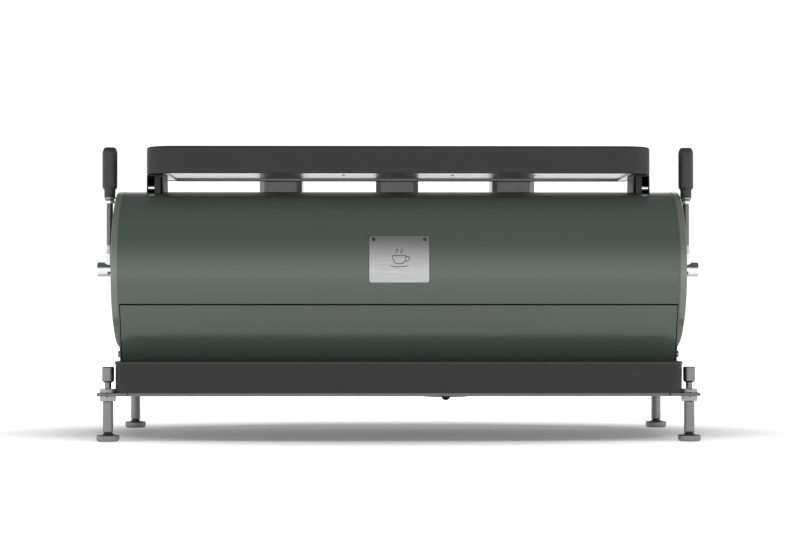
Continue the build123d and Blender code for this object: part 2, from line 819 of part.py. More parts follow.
# Portafilters
def portafilter_body(x):
    """Bowl that holds the basket, with two bayonet lugs and the neck for the handle."""
    top = gasket_z - seat - basket_rim
    r = filter_radius
    inner = basket_radius + 0.4
    floor = top - basket_depth - 8.0
    bowl = turned([
        (0, top - bowl_depth), (16, top - bowl_depth),
        (r - 5, top - bowl_depth + 5), (r, top - bowl_depth + 13),
        (r, top), (inner, top), (inner, floor + 7), (12, floor), (5, floor), (5, floor - 8), (0, floor - 8),
    ])
    bar = along_y(neck_bar_radius, r - 3, handle_start, 0, handle_z)
    ferrule_start = handle_start - ferrule_length
    ferrule = along_y(neck_bar_radius + ferrule_wall, ferrule_start, handle_start, 0, handle_z)
    bowl += bar + ferrule
    reach = r + lug_reach
    root = r - 1.0
    c, s = cos(radians(lug_half_angle)), sin(radians(lug_half_angle))
    lug = make_face([
        CenterArc((0, 0), reach, -lug_half_angle, 2 * lug_half_angle),
        Line((reach * c, reach * s), (root * c, root * s)),
        CenterArc((0, 0), root, -lug_half_angle, 2 * lug_half_angle),
        Line((root * c, -root * s), (reach * c, -reach * s)),
    ])
    for turn in (0, 180):
        bowl += Pos(0, 0, bayonet_z + 0.2) * Rot(0, 0, turn) * extrude(lug, amount=lug_height)
    return Pos(x, group_y, 0) * bowl


def portafilter_basket(x):
    top = gasket_z - seat
    s = basket_sheet
    cup = turned([
        (0, top - basket_depth), (basket_radius - 3, top - basket_depth),
        (basket_radius, top - basket_depth + 5), (basket_radius, top - basket_rim),
        (filter_radius - 0.3, top - basket_rim), (filter_radius - 0.3, top),
        (basket_radius - s, top), (basket_radius - s, top - basket_depth + 5.2),
        (basket_radius - 3.2, top - basket_depth + s), (0, top - basket_depth + s),
    ])
    return Pos(x, group_y, 0) * cup


def portafilter_handle(x):
    """Handle that droops towards the barista and ends in a half sphere."""
    r = handle_radius
    n = handle_length
    profile = make_face([
        Line((0, 0), (11.0, 0)), Line((11.0, 0), (11.0, 6)),
        Spline((11.0, 6), (r - 2.5, 40), (r, n - 30), (r, n), tangents=[(0, 1), (0, 1)]),
        CenterArc((0, n), r, 0, 90), Line((0, n + r), (0, 0)),
    ])
    grip = revolve(Plane.XZ * profile, Axis.Z)
    drop = Rot(-90 - handle_tilt, 0, 0)
    grip = Pos(0, handle_start, handle_z) * drop * grip
    grip &= block(-50, 50, handle_start, handle_start + 2 * n, 0, 500)
    return Pos(x, group_y, 0) * grip


def portafilter_spout(x):
    """Two-way spout screwed under the bowl: a boss, a cross bar and two outlets that turn down."""
    top = gasket_z - seat - basket_rim - bowl_depth
    bend = spout_half - 7.0
    bar_z = top - 9.0
    body = upright(9.0, bar_z, top) + upright(11.0, top - 5, top - 1)
    for side in (-1, 1):
        path = FilletPolyline((0, 0, bar_z), (side * spout_half, 0, bar_z),
                              (side * spout_half, 0, bar_z - spout_drop), radius=bend)
        start = Plane(origin=(0, 0, bar_z), z_dir=(side, 0, 0))
        body += sweep(start * Circle(spout_radius), path=path)
    for side in (-1, 1):
        body -= upright(spout_radius - 1.8, bar_z - spout_drop - 1, bar_z - 8.0, side * spout_half, 0)
    return Pos(x, group_y, 0) * body


# Steam levers
lever_x = hub_x + lever_x_from_hub


def steam_lever_hub(side):
    z = barrel_axis_z
    hub = along_x(hub_radius, hub_x, hub_x + hub_length, 0, z)
    hub = fillet(hub.faces().sort_by(Axis.X)[-1].edges(), 1.0)
    hub += along_x(spindle_radius, side_plate_x - 8.0, hub_x + 1, 0, z)
    neck = lever_neck_radius
    fork = turned([
        (0, z), (neck, z), (neck, z + hub_radius + 2), (neck - 1.1, z + hub_radius + 14),
        (rod_radius + 0.7, z + lever_neck_top - 3), (rod_radius, z + lever_neck_top), (0, z + lever_neck_top),
    ])
    hub += Pos(lever_x, 0, 0) * fork
    hub -= along_y(2.6, -20, -5, lever_x, z - 6.5)
    return Pos(0, barrel_y, 0) * (hub if side > 0 else mirror(hub, Plane.YZ))


def steam_lever_rod(side):
    z0 = barrel_axis_z + lever_neck_top
    z1 = z0 + rod_length
    c = collar_radius
    rod = turned([
        (0, z0), (rod_radius, z0), (rod_radius, z1 - collar_length), (c - 1, z1 - collar_length),
        (c, z1 - collar_length + 1), (c, z1 - 6.4), (c - 0.9, z1 - 5.8), (c - 0.9, z1 - 3.8),
        (c + 1.0, z1 - 3.2), (c + 1.0, z1), (0, z1),
    ])
    return Pos(side * lever_x, barrel_y, 0) * rod


def steam_lever_grip(side):
    z0 = barrel_axis_z + lever_neck_top + rod_length
    z1 = z0 + grip_length
    r, n = grip_radius, grip_neck_radius
    grip = turned([
        (0, z0), (n - 0.5, z0), (n, z0 + 0.8), (n, z0 + 12.0), (r, z0 + 17.0), (r, z1 - 8.5),
        (r - 1.1, z1 - 4.2), (r - 3.2, z1 - 0.8), (r - 4.2, z1), (0, z1),
    ])
    return Pos(side * lever_x, barrel_y, 0) * grip


# Steam wands and hot water
def outlet_arms():
    """Two steam arms and the hot water arm, each out of the barrel's front to a swivel spigot."""
    made = []
    start_y = barrel_y + sqrt(shell_radius**2 - (arm_z - barrel_axis_z)**2) - 35.0
    arms = (
        (-wand_x, arm_radius, spigot_radius),
        (wand_x, arm_radius, spigot_radius),
        (water_x, water_arm_radius, water_spigot_radius),
    )
    for x, radius, spigot in arms:
        arm = along_y(radius, start_y, wand_y, x, arm_z)
        arm += Pos(x, wand_y, arm_z) * Sphere(radius)
        arm += upright(radius, shoulder_z, arm_z, x, wand_y)
        arm += upright(spigot, shoulder_z - spigot_length, shoulder_z, x, wand_y)
        made.append(arm)
    return group(made)


def steam_wand_collar(side):
    top = shoulder_z - sliding
    r = wand_collar_radius
    collar = turned([
        (0, ball_z - 5.0), (r - 1.5, ball_z - 5.0), (r, ball_z - 3.5),
        (r, top - 3.0), (r - 3.0, top), (0, top),
    ])
    collar -= Pos(0, 0, ball_z) * Sphere(ball_radius + sliding)
    collar -= upright(spigot_radius + running, ball_z, top + 1)
    return Pos(side * wand_x, wand_y, 0) * collar


def wand_route():
    """The wand's centre line, seen from the side: down from the ball, then out towards the barista."""
    return [(0, 0), (0, -38), (32, -98), (32, -118)]


def steam_wand(side):
    (y0, z0), (y1, z1), (y2, z2), (y3, z3) = wand_route()
    path = FilletPolyline((0, y0, z0), (0, y1, z1), (0, y2, z2), (0, y3, z3), radius=22)
    tube = sweep(Plane(origin=(0, y0, z0), z_dir=(0, 0, -1)) * Circle(wand_radius), path=path)
    part = tube + Sphere(ball_radius)
    return Pos(side * wand_x, wand_y, ball_z) * part


def steam_wand_tip(side):
    y, z = wand_route()[-1]
    r = wand_radius
    tip = turned([
        (0, -tip_length), (2.4, -tip_length), (r + 1.0, -tip_length + 5), (r + 2.0, -tip_length + 8),
        (r + 2.0, -3), (r + 0.6, 0), (0, 0),
    ])
    return Pos(side * wand_x, wand_y + y, ball_z + z) * tip


def hot_water_spout():
    """Swivelling spout: a collar on the arm's spigot and a bent tube with a nozzle."""
    top = shoulder_z - sliding
    collar = turned([
        (0, ball_z - 4), (10.0, ball_z - 4), (11.0, ball_z - 3), (11.0, top - 2), (9.0, top), (0, top),
    ])
    collar -= upright(water_spigot_radius + running, top - spigot_length - 1.5, top + 1)
    path = FilletPolyline(
        (0, 0, ball_z - 3), (0, 0, ball_z - 30), (0, 26, ball_z - 56), (0, 26, ball_z - 76), radius=14
    )
    tube = sweep(Plane(origin=(0, 0, ball_z - 3), z_dir=(0, 0, -1)) * Circle(5.0), path=path)
    nozzle = Pos(0, 26, ball_z - 82) * Cylinder(6.6, 14)
    return Pos(water_x, wand_y, 0) * (collar + tube + nozzle)


def power_switch():
    """Rotary main switch on the base's front wall."""
    x, z = -(base_half - 60.0), (wall_z + lid_z) / 2
    y = front_y + sliding
    knob = along_y(14.0, y, y + 5, x, z) + along_y(9.5, y, y + 15, x, z)
    knob += block(x - 2.6, x + 2.6, y, y + 17, z - 12.5, z + 12.5)
    knob = fillet(knob.faces().sort_by(Axis.Y)[-1].edges(), 0.8)
    return knob


# Write every node
def every_node():
    nodes = {
        "base_frame": base_frame(),
        "base_surround": base_surround(),
        "base_lid": base_lid(),
        "foot_nuts": foot_nuts(),
        "drain_cup": drain_cup(),
        "drip_tray": drip_tray(),
        "drip_grille": drip_grille(),
        "rear_upper_panel": rear_upper_panel(),
        "rear_lower_panel": rear_lower_panel(),
        "front_panel": front_panel(),
        "frame_plates": frame_plates(),
        "side_rings": side_rings(),
        "side_covers": side_covers(),
        "steam_boiler": steam_boiler(),
        "pump_motor": pump_motor(),
        "pressure_gauge": pressure_gauge(),
        "nameplate": nameplate(),
        "panel_screws": panel_screws(),
        "cup_tray": cup_tray(),
        "cup_tray_underside": cup_tray_underside(),
        "tray_brackets": tray_brackets(),
        "group_housings": group_housings(),
        "group_boilers": group_boilers(),
        "group_heads": group_heads(),
        "group_gaskets": group_gaskets(),
        "shower_screens": shower_screens(),
        "outlet_arms": outlet_arms(),
        "hot_water_spout": hot_water_spout(),
        "power_switch": power_switch(),
    }
    for name, side in sides.items():
        for row, y in foot_ys.items():
            nodes[f"levelling_foot_{row}_{name}"] = levelling_foot(side, y)
        nodes[f"steam_lever_hub_{name}"] = steam_lever_hub(side)
        nodes[f"steam_lever_rod_{name}"] = steam_lever_rod(side)
        nodes[f"steam_lever_grip_{name}"] = steam_lever_grip(side)
        nodes[f"steam_wand_collar_{name}"] = steam_wand_collar(side)
        nodes[f"steam_wand_{name}"] = steam_wand(side)
        nodes[f"steam_wand_tip_{name}"] = steam_wand_tip(side)
    for number, x in enumerate(group_xs, start=1):
        nodes[f"brew_paddle_{number}"] = brew_paddle(x)
        nodes[f"portafilter_{number}"] = portafilter_body(x)
        nodes[f"portafilter_basket_{number}"] = portafilter_basket(x)
        nodes[f"portafilter_handle_{number}"] = portafilter_handle(x)
        nodes[f"portafilter_spout_{number}"] = portafilter_spout(x)
    return nodes


os.makedirs("parts", exist_ok=True)
for name, shape in every_node().items():
    export_step(shape, f"parts/{name}.step")
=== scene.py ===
import json
import math

import bmesh
import bpy
from mathutils import Matrix, Vector

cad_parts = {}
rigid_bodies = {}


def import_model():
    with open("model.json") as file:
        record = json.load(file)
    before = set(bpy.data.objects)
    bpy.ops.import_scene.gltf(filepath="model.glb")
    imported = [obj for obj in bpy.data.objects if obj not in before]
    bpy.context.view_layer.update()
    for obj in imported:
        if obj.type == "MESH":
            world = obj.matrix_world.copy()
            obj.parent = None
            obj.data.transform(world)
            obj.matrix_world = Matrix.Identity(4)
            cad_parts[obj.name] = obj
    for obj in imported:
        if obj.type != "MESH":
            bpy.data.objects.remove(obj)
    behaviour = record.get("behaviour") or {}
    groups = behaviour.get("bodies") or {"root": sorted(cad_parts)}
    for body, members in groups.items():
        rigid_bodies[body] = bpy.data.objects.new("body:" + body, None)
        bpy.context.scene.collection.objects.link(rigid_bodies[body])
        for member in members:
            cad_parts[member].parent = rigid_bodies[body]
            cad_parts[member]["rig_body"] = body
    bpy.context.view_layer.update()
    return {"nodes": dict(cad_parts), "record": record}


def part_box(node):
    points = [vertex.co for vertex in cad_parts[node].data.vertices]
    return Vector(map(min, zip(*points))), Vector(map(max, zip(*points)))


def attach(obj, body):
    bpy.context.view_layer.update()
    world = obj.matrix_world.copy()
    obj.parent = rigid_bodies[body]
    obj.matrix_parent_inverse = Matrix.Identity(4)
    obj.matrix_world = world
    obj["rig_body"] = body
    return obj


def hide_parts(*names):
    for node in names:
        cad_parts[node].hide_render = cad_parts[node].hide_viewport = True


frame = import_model()
nodes = frame["nodes"]
print("frame loaded:", len(nodes), "nodes")


# shader helpers
def addNode(tree, kind, inputs=None, **settings):
    made = tree.nodes.new(kind)
    for key, value in settings.items():
        setattr(made, key, value)
    for key, value in (inputs or {}).items():
        if isinstance(value, bpy.types.NodeSocket):
            tree.links.new(value, made.inputs[key])
        else:
            made.inputs[key].default_value = value
    return made


def newGroup(name, inputs, outputs):
    tree = bpy.data.node_groups.new(name, "ShaderNodeTree")
    for label, kind, value in inputs:
        tree.interface.new_socket(name=label, in_out="INPUT", socket_type=kind).default_value = value
    for label, kind in outputs:
        tree.interface.new_socket(name=label, in_out="OUTPUT", socket_type=kind)
    return tree, addNode(tree, "NodeGroupInput"), addNode(tree, "NodeGroupOutput")


def math2(tree, operation, a, b, clamp=False):
    return addNode(tree, "ShaderNodeMath", {0: a, 1: b}, operation=operation, use_clamp=clamp).outputs[0]


def mixColour(tree, factor, a, b):
    made = addNode(tree, "ShaderNodeMix", {0: factor, 6: a, 7: b}, data_type="RGBA")
    return made.outputs[2]


def fillGroup(tree, group, inputs):
    made = tree.nodes.new("ShaderNodeGroup")
    made.node_tree = group
    for key, value in inputs.items():
        if isinstance(value, bpy.types.NodeSocket):
            tree.links.new(value, made.inputs[key])
        else:
            made.inputs[key].default_value = value
    return made


# fine texture of a coating or the marks that a tool leaves; Stretch sets its direction
def makeGrainGroup():
    tree, start, end = newGroup(
        "surfaceGrain",
        [("Stretch", "NodeSocketVector", (900, 900, 900)), ("Detail", "NodeSocketFloat", 3.0)],
        [("Height", "NodeSocketFloat")],
    )
    where = addNode(tree, "ShaderNodeTexCoord")
    stretched = addNode(
        tree, "ShaderNodeVectorMath", {0: where.outputs["Object"], 1: start.outputs["Stretch"]},
        operation="MULTIPLY",
    )
    noise = addNode(
        tree, "ShaderNodeTexNoise",
        {"Vector": stretched.outputs[0], "Scale": 1.0, "Detail": start.outputs["Detail"], "Roughness": 0.55},
    )
    tree.links.new(noise.outputs[0], end.inputs["Height"])
    return tree


# slow drift of tone over a large face
def makeCloudGroup():
    tree, start, end = newGroup(
        "toneDrift",
        [("Scale", "NodeSocketFloat", 6.0), ("Amount", "NodeSocketFloat", 0.2)],
        [("Mask", "NodeSocketFloat")],
    )
    where = addNode(tree, "ShaderNodeTexCoord")
    noise = addNode(
        tree, "ShaderNodeTexNoise",
        {"Vector": where.outputs["Object"], "Scale": start.outputs["Scale"], "Detail": 4.0, "Roughness": 0.6},
    )
    spread = addNode(tree, "ShaderNodeMapRange", {0: noise.outputs[0], 1: 0.35, 2: 0.65, 3: 0.0, 4: 1.0})
    mask = math2(tree, "MULTIPLY", spread.outputs[0], start.outputs["Amount"], True)
    tree.links.new(mask, end.inputs["Mask"])
    return tree


# rounds hard edges in the shading, and finds them for wear
def makeEdgeGroup():
    tree, start, end = newGroup(
        "edgeFinish",
        [("Radius", "NodeSocketFloat", 0.0006), ("Wear", "NodeSocketFloat", 0.3)],
        [("Normal", "NodeSocketVector"), ("Mask", "NodeSocketFloat")],
    )
    rounded = addNode(tree, "ShaderNodeBevel", {"Radius": start.outputs["Radius"]}, samples=6)
    shape = addNode(tree, "ShaderNodeNewGeometry")
    turned = addNode(
        tree, "ShaderNodeVectorMath", {0: rounded.outputs[0], 1: shape.outputs["Normal"]},
        operation="DOT_PRODUCT",
    )
    away = math2(tree, "SUBTRACT", 1.0, turned.outputs["Value"], True)
    where = addNode(tree, "ShaderNodeTexCoord")
    noise = addNode(
        tree, "ShaderNodeTexNoise", {"Vector": where.outputs["Object"], "Scale": 160.0, "Detail": 4.0}
    )
    chipped = addNode(tree, "ShaderNodeMapRange", {0: noise.outputs[0], 1: 0.45, 2: 0.62, 3: 0.0, 4: 1.0})
    mask = math2(tree, "MULTIPLY", math2(tree, "MULTIPLY", away, 3.0, True), chipped.outputs[0])
    tree.links.new(math2(tree, "MULTIPLY", mask, start.outputs["Wear"], True), end.inputs["Mask"])
    tree.links.new(rounded.outputs[0], end.inputs["Normal"])
    return tree


# a little dust on what faces up, and finger marks that dull the gloss
def makeUseGroup():
    tree, start, end = newGroup(
        "dustAndMarks",
        [("Dust", "NodeSocketFloat", 0.1), ("Marks", "NodeSocketFloat", 0.1)],
        [("Dust", "NodeSocketFloat"), ("Dulling", "NodeSocketFloat")],
    )
    where = addNode(tree, "ShaderNodeTexCoord")
    shape = addNode(tree, "ShaderNodeNewGeometry")
    facing = addNode(tree, "ShaderNodeSeparateXYZ", {0: shape.outputs["Normal"]})
    up = addNode(tree, "ShaderNodeMapRange", {0: facing.outputs[2], 1: 0.2, 2: 1.0, 3: 0.0, 4: 1.0})
    specks = addNode(
        tree, "ShaderNodeTexNoise",
        {"Vector": where.outputs["Object"], "Scale": 420.0, "Detail": 6.0, "Roughness": 0.7},
    )
    few = addNode(tree, "ShaderNodeMapRange", {0: specks.outputs[0], 1: 0.48, 2: 0.72, 3: 0.0, 4: 1.0})
    settled = math2(tree, "MULTIPLY", up.outputs[0], few.outputs[0])
    dust = math2(tree, "MULTIPLY", settled, start.outputs["Dust"])
    tree.links.new(dust, end.inputs["Dust"])
    prints = addNode(
        tree, "ShaderNodeTexNoise",
        {"Vector": where.outputs["Object"], "Scale": 28.0, "Detail": 5.0, "Roughness": 0.65, "Distortion": 0.6},
    )
    patchy = addNode(tree, "ShaderNodeMapRange", {0: prints.outputs[0], 1: 0.45, 2: 0.75, 3: 0.0, 4: 1.0})
    tree.links.new(math2(tree, "MULTIPLY", patchy.outputs[0], start.outputs["Marks"]), end.inputs["Dulling"])
    return tree


grainGroup = makeGrainGroup()
cloudGroup = makeCloudGroup()
edgeGroup = makeEdgeGroup()
useGroupTree = makeUseGroup()

plainFinish = {
    "tone": (0.5, 0.5, 0.5), "darker": 0.75, "metallic": 0.0, "roughness": 0.5, "coat": 0.0,
    "coatRoughness": 0.1, "specular": 0.5, "grain": (900, 900, 900), "grainDepth": 0.00001,
    "grainTone": 0.0, "grainDull": 0.0, "drift": 0.25, "driftScale": 5.0, "edge": 0.0005, "wear": 0.15,
    "bare": (0.5, 0.5, 0.5), "dust": 0.05, "marks": 0.05, "clear": 0.0,
}

finishes = {
    "green_paint": {
        "tone": (0.064, 0.082, 0.067), "roughness": 0.42, "specular": 0.2, "grainDepth": 0.000012,
        "coat": 1.0, "coatRoughness": 0.17, "grain": (700, 700, 700), "drift": 0.08, "wear": 0.10,
        "bare": (0.30, 0.34, 0.31), "dust": 0.04, "marks": 0.04,
    },
    "green_grey_paint": {
        "tone": (0.078, 0.097, 0.081), "roughness": 0.42, "specular": 0.2, "drift": 0.08, "coat": 1.0,
        "coatRoughness": 0.17, "grain": (700, 700, 700), "wear": 0.12, "bare": (0.33, 0.36, 0.34),
        "dust": 0.03, "marks": 0.05,
    },
    "ring_paint": {
        "tone": (0.13, 0.144, 0.13), "roughness": 0.30, "drift": 0.08, "coat": 1.0, "coatRoughness": 0.09,
        "grain": (800, 800, 800), "wear": 0.15, "bare": (0.5, 0.52, 0.5), "dust": 0.03, "marks": 0.06,
    },
    "black_satin": {
        "tone": (0.018, 0.018, 0.0185), "darker": 0.8, "roughness": 0.50, "specular": 0.4,
        "grain": (1500, 1500, 1500), "grainDepth": 0.00003, "drift": 0.15, "wear": 0.12,
        "bare": (0.12, 0.12, 0.12), "dust": 0.05, "marks": 0.05,
    },
    # the lid's black carries a green tint, a painted reflection of the green panel above it
    "lid_gloss": {
        "tone": (0.019, 0.0225, 0.0195), "darker": 0.85, "roughness": 0.30, "specular": 0.4,
        "grain": (1500, 1500, 1500), "grainDepth": 0.00001, "drift": 0.1, "wear": 0.1,
        "bare": (0.1, 0.1, 0.1), "dust": 0.04, "marks": 0.05,
    },
    "grille_steel": {
        "tone": (0.62, 0.62, 0.63), "metallic": 1.0, "roughness": 0.26, "grain": (900, 60, 900),
        "grainDepth": 0.000004, "grainTone": 0.1, "grainDull": 0.05, "dust": 0.0, "drift": 0.1,
    },
    "underside_grey": {
        "tone": (0.25, 0.25, 0.25), "metallic": 1.0, "roughness": 0.24, "grain": (30, 1400, 1400),
        "grainTone": 0.25, "grainDull": 0.1, "dust": 0.0,
    },
    "housing_grey": {
        "tone": (0.20, 0.20, 0.20), "metallic": 1.0, "roughness": 0.26, "grain": (1500, 1500, 40),
        "grainTone": 0.2, "grainDull": 0.08, "wear": 0.1, "bare": (0.5, 0.5, 0.5),
    },
    "chassis_steel": {
        "tone": (0.18, 0.18, 0.184), "metallic": 1.0, "roughness": 0.38, "grain": (40, 1200, 1200),
        "grainTone": 0.25, "grainDull": 0.12, "wear": 0.1, "bare": (0.7, 0.7, 0.7),
    },
    "stainless": {
        "tone": (0.60, 0.60, 0.61), "metallic": 1.0, "roughness": 0.28, "grain": (40, 1500, 1500),
        "grainTone": 0.2, "grainDull": 0.12, "marks": 0.12,
    },
    "satin_steel": {
        "tone": (0.34, 0.34, 0.34), "metallic": 1.0, "roughness": 0.34, "grain": (20, 20, 2600),
        "grainDepth": 0.000006, "grainTone": 0.2, "grainDull": 0.10, "marks": 0.08,
    },
    "foot_metal": {
        "tone": (0.26, 0.26, 0.26), "metallic": 1.0, "roughness": 0.34, "grain": (20, 20, 2600),
        "grainDepth": 0.000006, "grainTone": 0.2, "grainDull": 0.10, "marks": 0.08,
    },
    "bright_steel": {
        "tone": (0.38, 0.38, 0.38), "metallic": 1.0, "roughness": 0.30, "grain": (1500, 1500, 60),
        "grainTone": 0.2, "grainDull": 0.1,
    },
    "dark_steel": {
        "tone": (0.16, 0.16, 0.165), "metallic": 1.0, "roughness": 0.26, "grain": (30, 30, 1600),
        "grainTone": 0.2, "grainDull": 0.08,
    },
    "brushed_plate": {
        "tone": (0.53, 0.53, 0.53), "metallic": 1.0, "roughness": 0.34, "grain": (24, 1500, 1500),
        "grainDepth": 0.00002, "grainTone": 0.45, "grainDull": 0.2, "marks": 0.05, "dust": 0.0,
    },
    "chrome": {
        "tone": (0.80, 0.81, 0.82), "metallic": 1.0, "roughness": 0.07, "grainDepth": 0.0000015,
        "darker": 0.9, "drift": 0.2, "wear": 0.0, "marks": 0.06, "dust": 0.02,
    },
    "motor_grey": {"tone": (0.12, 0.13, 0.14), "roughness": 0.55, "grainDepth": 0.00006,
        "grain": (500, 500, 500)},
    "black_plastic": {
        "tone": (0.018, 0.018, 0.019), "roughness": 0.48, "grain": (2200, 2200, 2200),
        "grainDepth": 0.00002, "bare": (0.06, 0.06, 0.06),
    },
    "black_grip": {
        "tone": (0.026, 0.026, 0.027), "roughness": 0.46, "grain": (1800, 1800, 1800),
        "grainDepth": 0.00003, "bare": (0.07, 0.07, 0.07), "marks": 0.1,
    },
    "gasket_rubber": {"tone": (0.02, 0.02, 0.02), "roughness": 0.7, "grainDepth": 0.00003},
    "ink": {"tone": (0.012, 0.012, 0.012), "roughness": 0.55, "edge": 0.0001, "dust": 0.0},
    "dial": {"tone": (0.78, 0.78, 0.76), "roughness": 0.5, "edge": 0.0001, "drift": 0.1, "dust": 0.0},
    "gaugeGlass": {"tone": (0.95, 0.96, 0.96), "roughness": 0.03, "clear": 1.0, "grainDepth": 0.0000005,
        "drift": 0.0,
                   "dust": 0.0, "marks": 0.02, "wear": 0.0},
    "redPointer": {"tone": (0.35, 0.02, 0.02), "roughness": 0.45, "edge": 0.0001, "dust": 0.0},
}


def makeFinish(name, chosen):
    v = {**plainFinish, **chosen}
    made = bpy.data.materials.new(name)
    made.use_nodes = True
    tree = made.node_tree
    shader = tree.nodes["Principled BSDF"]
    shader.inputs["Metallic"].default_value = v["metallic"]
    shader.inputs["Specular IOR Level"].default_value = v["specular"]
    shader.inputs["Transmission Weight"].default_value = v["clear"]
    shader.inputs["Coat Weight"].default_value = v["coat"]
    shader.inputs["Coat Roughness"].default_value = v["coatRoughness"]
    grain = fillGroup(tree, grainGroup, {"Stretch": v["grain"], "Detail": 3.0})
    drift = fillGroup(tree, cloudGroup, {"Scale": v["driftScale"], "Amount": v["drift"]})
    edges = fillGroup(tree, edgeGroup, {"Radius": v["edge"], "Wear": v["wear"]})
    used = fillGroup(tree, useGroupTree, {"Dust": v["dust"], "Marks": v["marks"]})
    light = (*v["tone"], 1)
    dark = (*[c * v["darker"] for c in v["tone"]], 1)
    colour = mixColour(tree, drift.outputs["Mask"], light, dark)
    if v["grainTone"]:
        streak = addNode(
            tree, "ShaderNodeMapRange", {0: grain.outputs[0], 1: 0.3, 2: 0.7, 3: 0.0, 4: v["grainTone"]}
        )
        colour = mixColour(tree, streak.outputs[0], colour, (*[c * 0.55 for c in v["tone"]], 1))
    colour = mixColour(tree, edges.outputs["Mask"], colour, (*v["bare"], 1))
    colour = mixColour(tree, used.outputs["Dust"], colour, (0.45, 0.43, 0.40, 1))
    tree.links.new(colour, shader.inputs["Base Color"])
    dull = math2(tree, "ADD", used.outputs["Dulling"], v["roughness"])
    if v["grainDull"]:
        rougher = addNode(
            tree, "ShaderNodeMapRange", {0: grain.outputs[0], 1: 0.3, 2: 0.7, 3: 0.0, 4: v["grainDull"]}
        )
        dull = math2(tree, "ADD", dull, rougher.outputs[0])
    tree.links.new(dull, shader.inputs["Roughness"])
    bump = addNode(
        tree, "ShaderNodeBump",
        {"Height": grain.outputs["Height"], "Distance": v["grainDepth"], "Normal": edges.outputs["Normal"]},
    )
    tree.links.new(bump.outputs[0], shader.inputs["Normal"])
    return made


material = {name: makeFinish(name, chosen) for name, chosen in finishes.items()}
ownFinish = {"base_lid": "lid_gloss", "drip_grille": "grille_steel", "drip_tray": "grille_steel"}
for row in frame["record"]["subparts"]:
    cadPiece = nodes[row["node"]]
    cadPiece.data.materials.clear()
    cadPiece.data.materials.append(material[ownFinish.get(row["node"], row["material_slot"])])
print("finishes on the frame:", len(material))

# places that several pieces share
ringLow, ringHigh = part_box("side_rings")
axisY, axisZ = (ringLow.y + ringHigh.y) / 2, (ringLow.z + ringHigh.z) / 2
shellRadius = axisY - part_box("rear_upper_panel")[0].y


# shape helpers
# spins (radius, height) points round Z; a third value gives the ring that many flat sides
def turned(outline, steps=96):
    shape = bmesh.new()
    rings = []
    for radius, height, *flats in outline:
        ring = []
        for k in range(1 if radius < 1e-6 else steps):
            angle = 2 * math.pi * k / steps
            reach = radius
            if flats:
                half = math.pi / flats[0]
                reach = radius * math.cos(half) / math.cos(angle % (2 * half) - half)
            ring.append(shape.verts.new((reach * math.cos(angle), reach * math.sin(angle), height)))
        rings.append(ring)
    for low, high in zip(rings, rings[1:]):
        for k in range(steps):
            n = k + 1
            corners = dict.fromkeys(
                [low[k % len(low)], low[n % len(low)], high[n % len(high)], high[k % len(high)]]
            )
            if len(corners) > 2:
                shape.faces.new(list(corners))
    return shape


# rounds the corners of an outline with short curves
def softened(outline, reach, parts=4):
    made = [outline[0]]
    for before, corner, after in zip(outline, outline[1:], outline[2:]):
        b, c, a = Vector(before), Vector(corner), Vector(after)
        start = c + (b - c).normalized() * min(reach, 0.45 * (b - c).length)
        end = c + (a - c).normalized() * min(reach, 0.45 * (a - c).length)
        for k in range(parts + 1):
            t = k / parts
            made.append(tuple(start.lerp(c, t).lerp(c.lerp(end, t), t)))
    return made + [outline[-1]]


# a block between two corners, its edges rounded
def softBlock(low, high, edge, parts=3):
    shape = bmesh.new()
    bmesh.ops.create_cube(shape, size=1)
    size = Vector(high) - Vector(low)
    bmesh.ops.scale(shape, vec=size, verts=shape.verts)
    bmesh.ops.translate(shape, vec=(Vector(low) + Vector(high)) / 2, verts=shape.verts)
    bmesh.ops.bevel(shape, geom=list(shape.edges), offset=edge, segments=parts, profile=0.5, affect="EDGES")
    return shape


# puts a shape's Z along an axis, at a place
def facing(place, axis=(0, 0, 1)):
    return Matrix.Translation(place) @ Vector(axis).to_track_quat("Z", "Y").to_matrix().to_4x4()


def addPiece(name, shape, finish, body, place=None, replaced=(), sharp=38):
    if place is not None:
        bmesh.ops.transform(shape, matrix=place, verts=shape.verts)
    bmesh.ops.recalc_face_normals(shape, faces=shape.faces)
    mesh = bpy.data.meshes.new(name)
    shape.to_mesh(mesh)
    shape.free()
    mesh.shade_smooth()
    mesh.set_sharp_from_angle(angle=math.radians(sharp))
    mesh.materials.append(material[finish])
    piece = bpy.data.objects.new(name, mesh)
    bpy.context.scene.collection.objects.link(piece)
    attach(piece, body)
    if replaced:
        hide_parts(*replaced)
    return piece


# the boxes of a node's separate solids
def solidBoxes(node):
    shape = bmesh.new()
    shape.from_mesh(nodes[node].data)
    bmesh.ops.remove_doubles(shape, verts=shape.verts, dist=0.00001)
    left = set(shape.verts)
    boxes = []
    while left:
        waiting = [left.pop()]
        found = []
        while waiting:
            here = waiting.pop()
            found.append(here.co.copy())
            for there in (link.other_vert(here) for link in here.link_edges):
                if there in left:
                    left.remove(there)
                    waiting.append(there)
        low = Vector(min(p[k] for p in found) for k in range(3))
        high = Vector(max(p[k] for p in found) for k in range(3))
        boxes.append((low, high))
    shape.free()
    return sorted(boxes, key=lambda b: (round(b[0].x, 3), round(b[0].y, 3), b[0].z))


# a cap screw's head with a six-sided socket
def socketHead(radius, height, socket, depth):
    edge = 0.12 * radius
    return turned([
        (0, height - depth), (socket, height - depth, 6), (socket, height - 0.2 * edge, 6),
        (socket + 0.5 * edge, height), (radius - edge, height), (radius - 0.3 * edge, height - 0.3 * edge),
        (radius, height - edge), (radius, 0), (0, 0),
    ], 48)


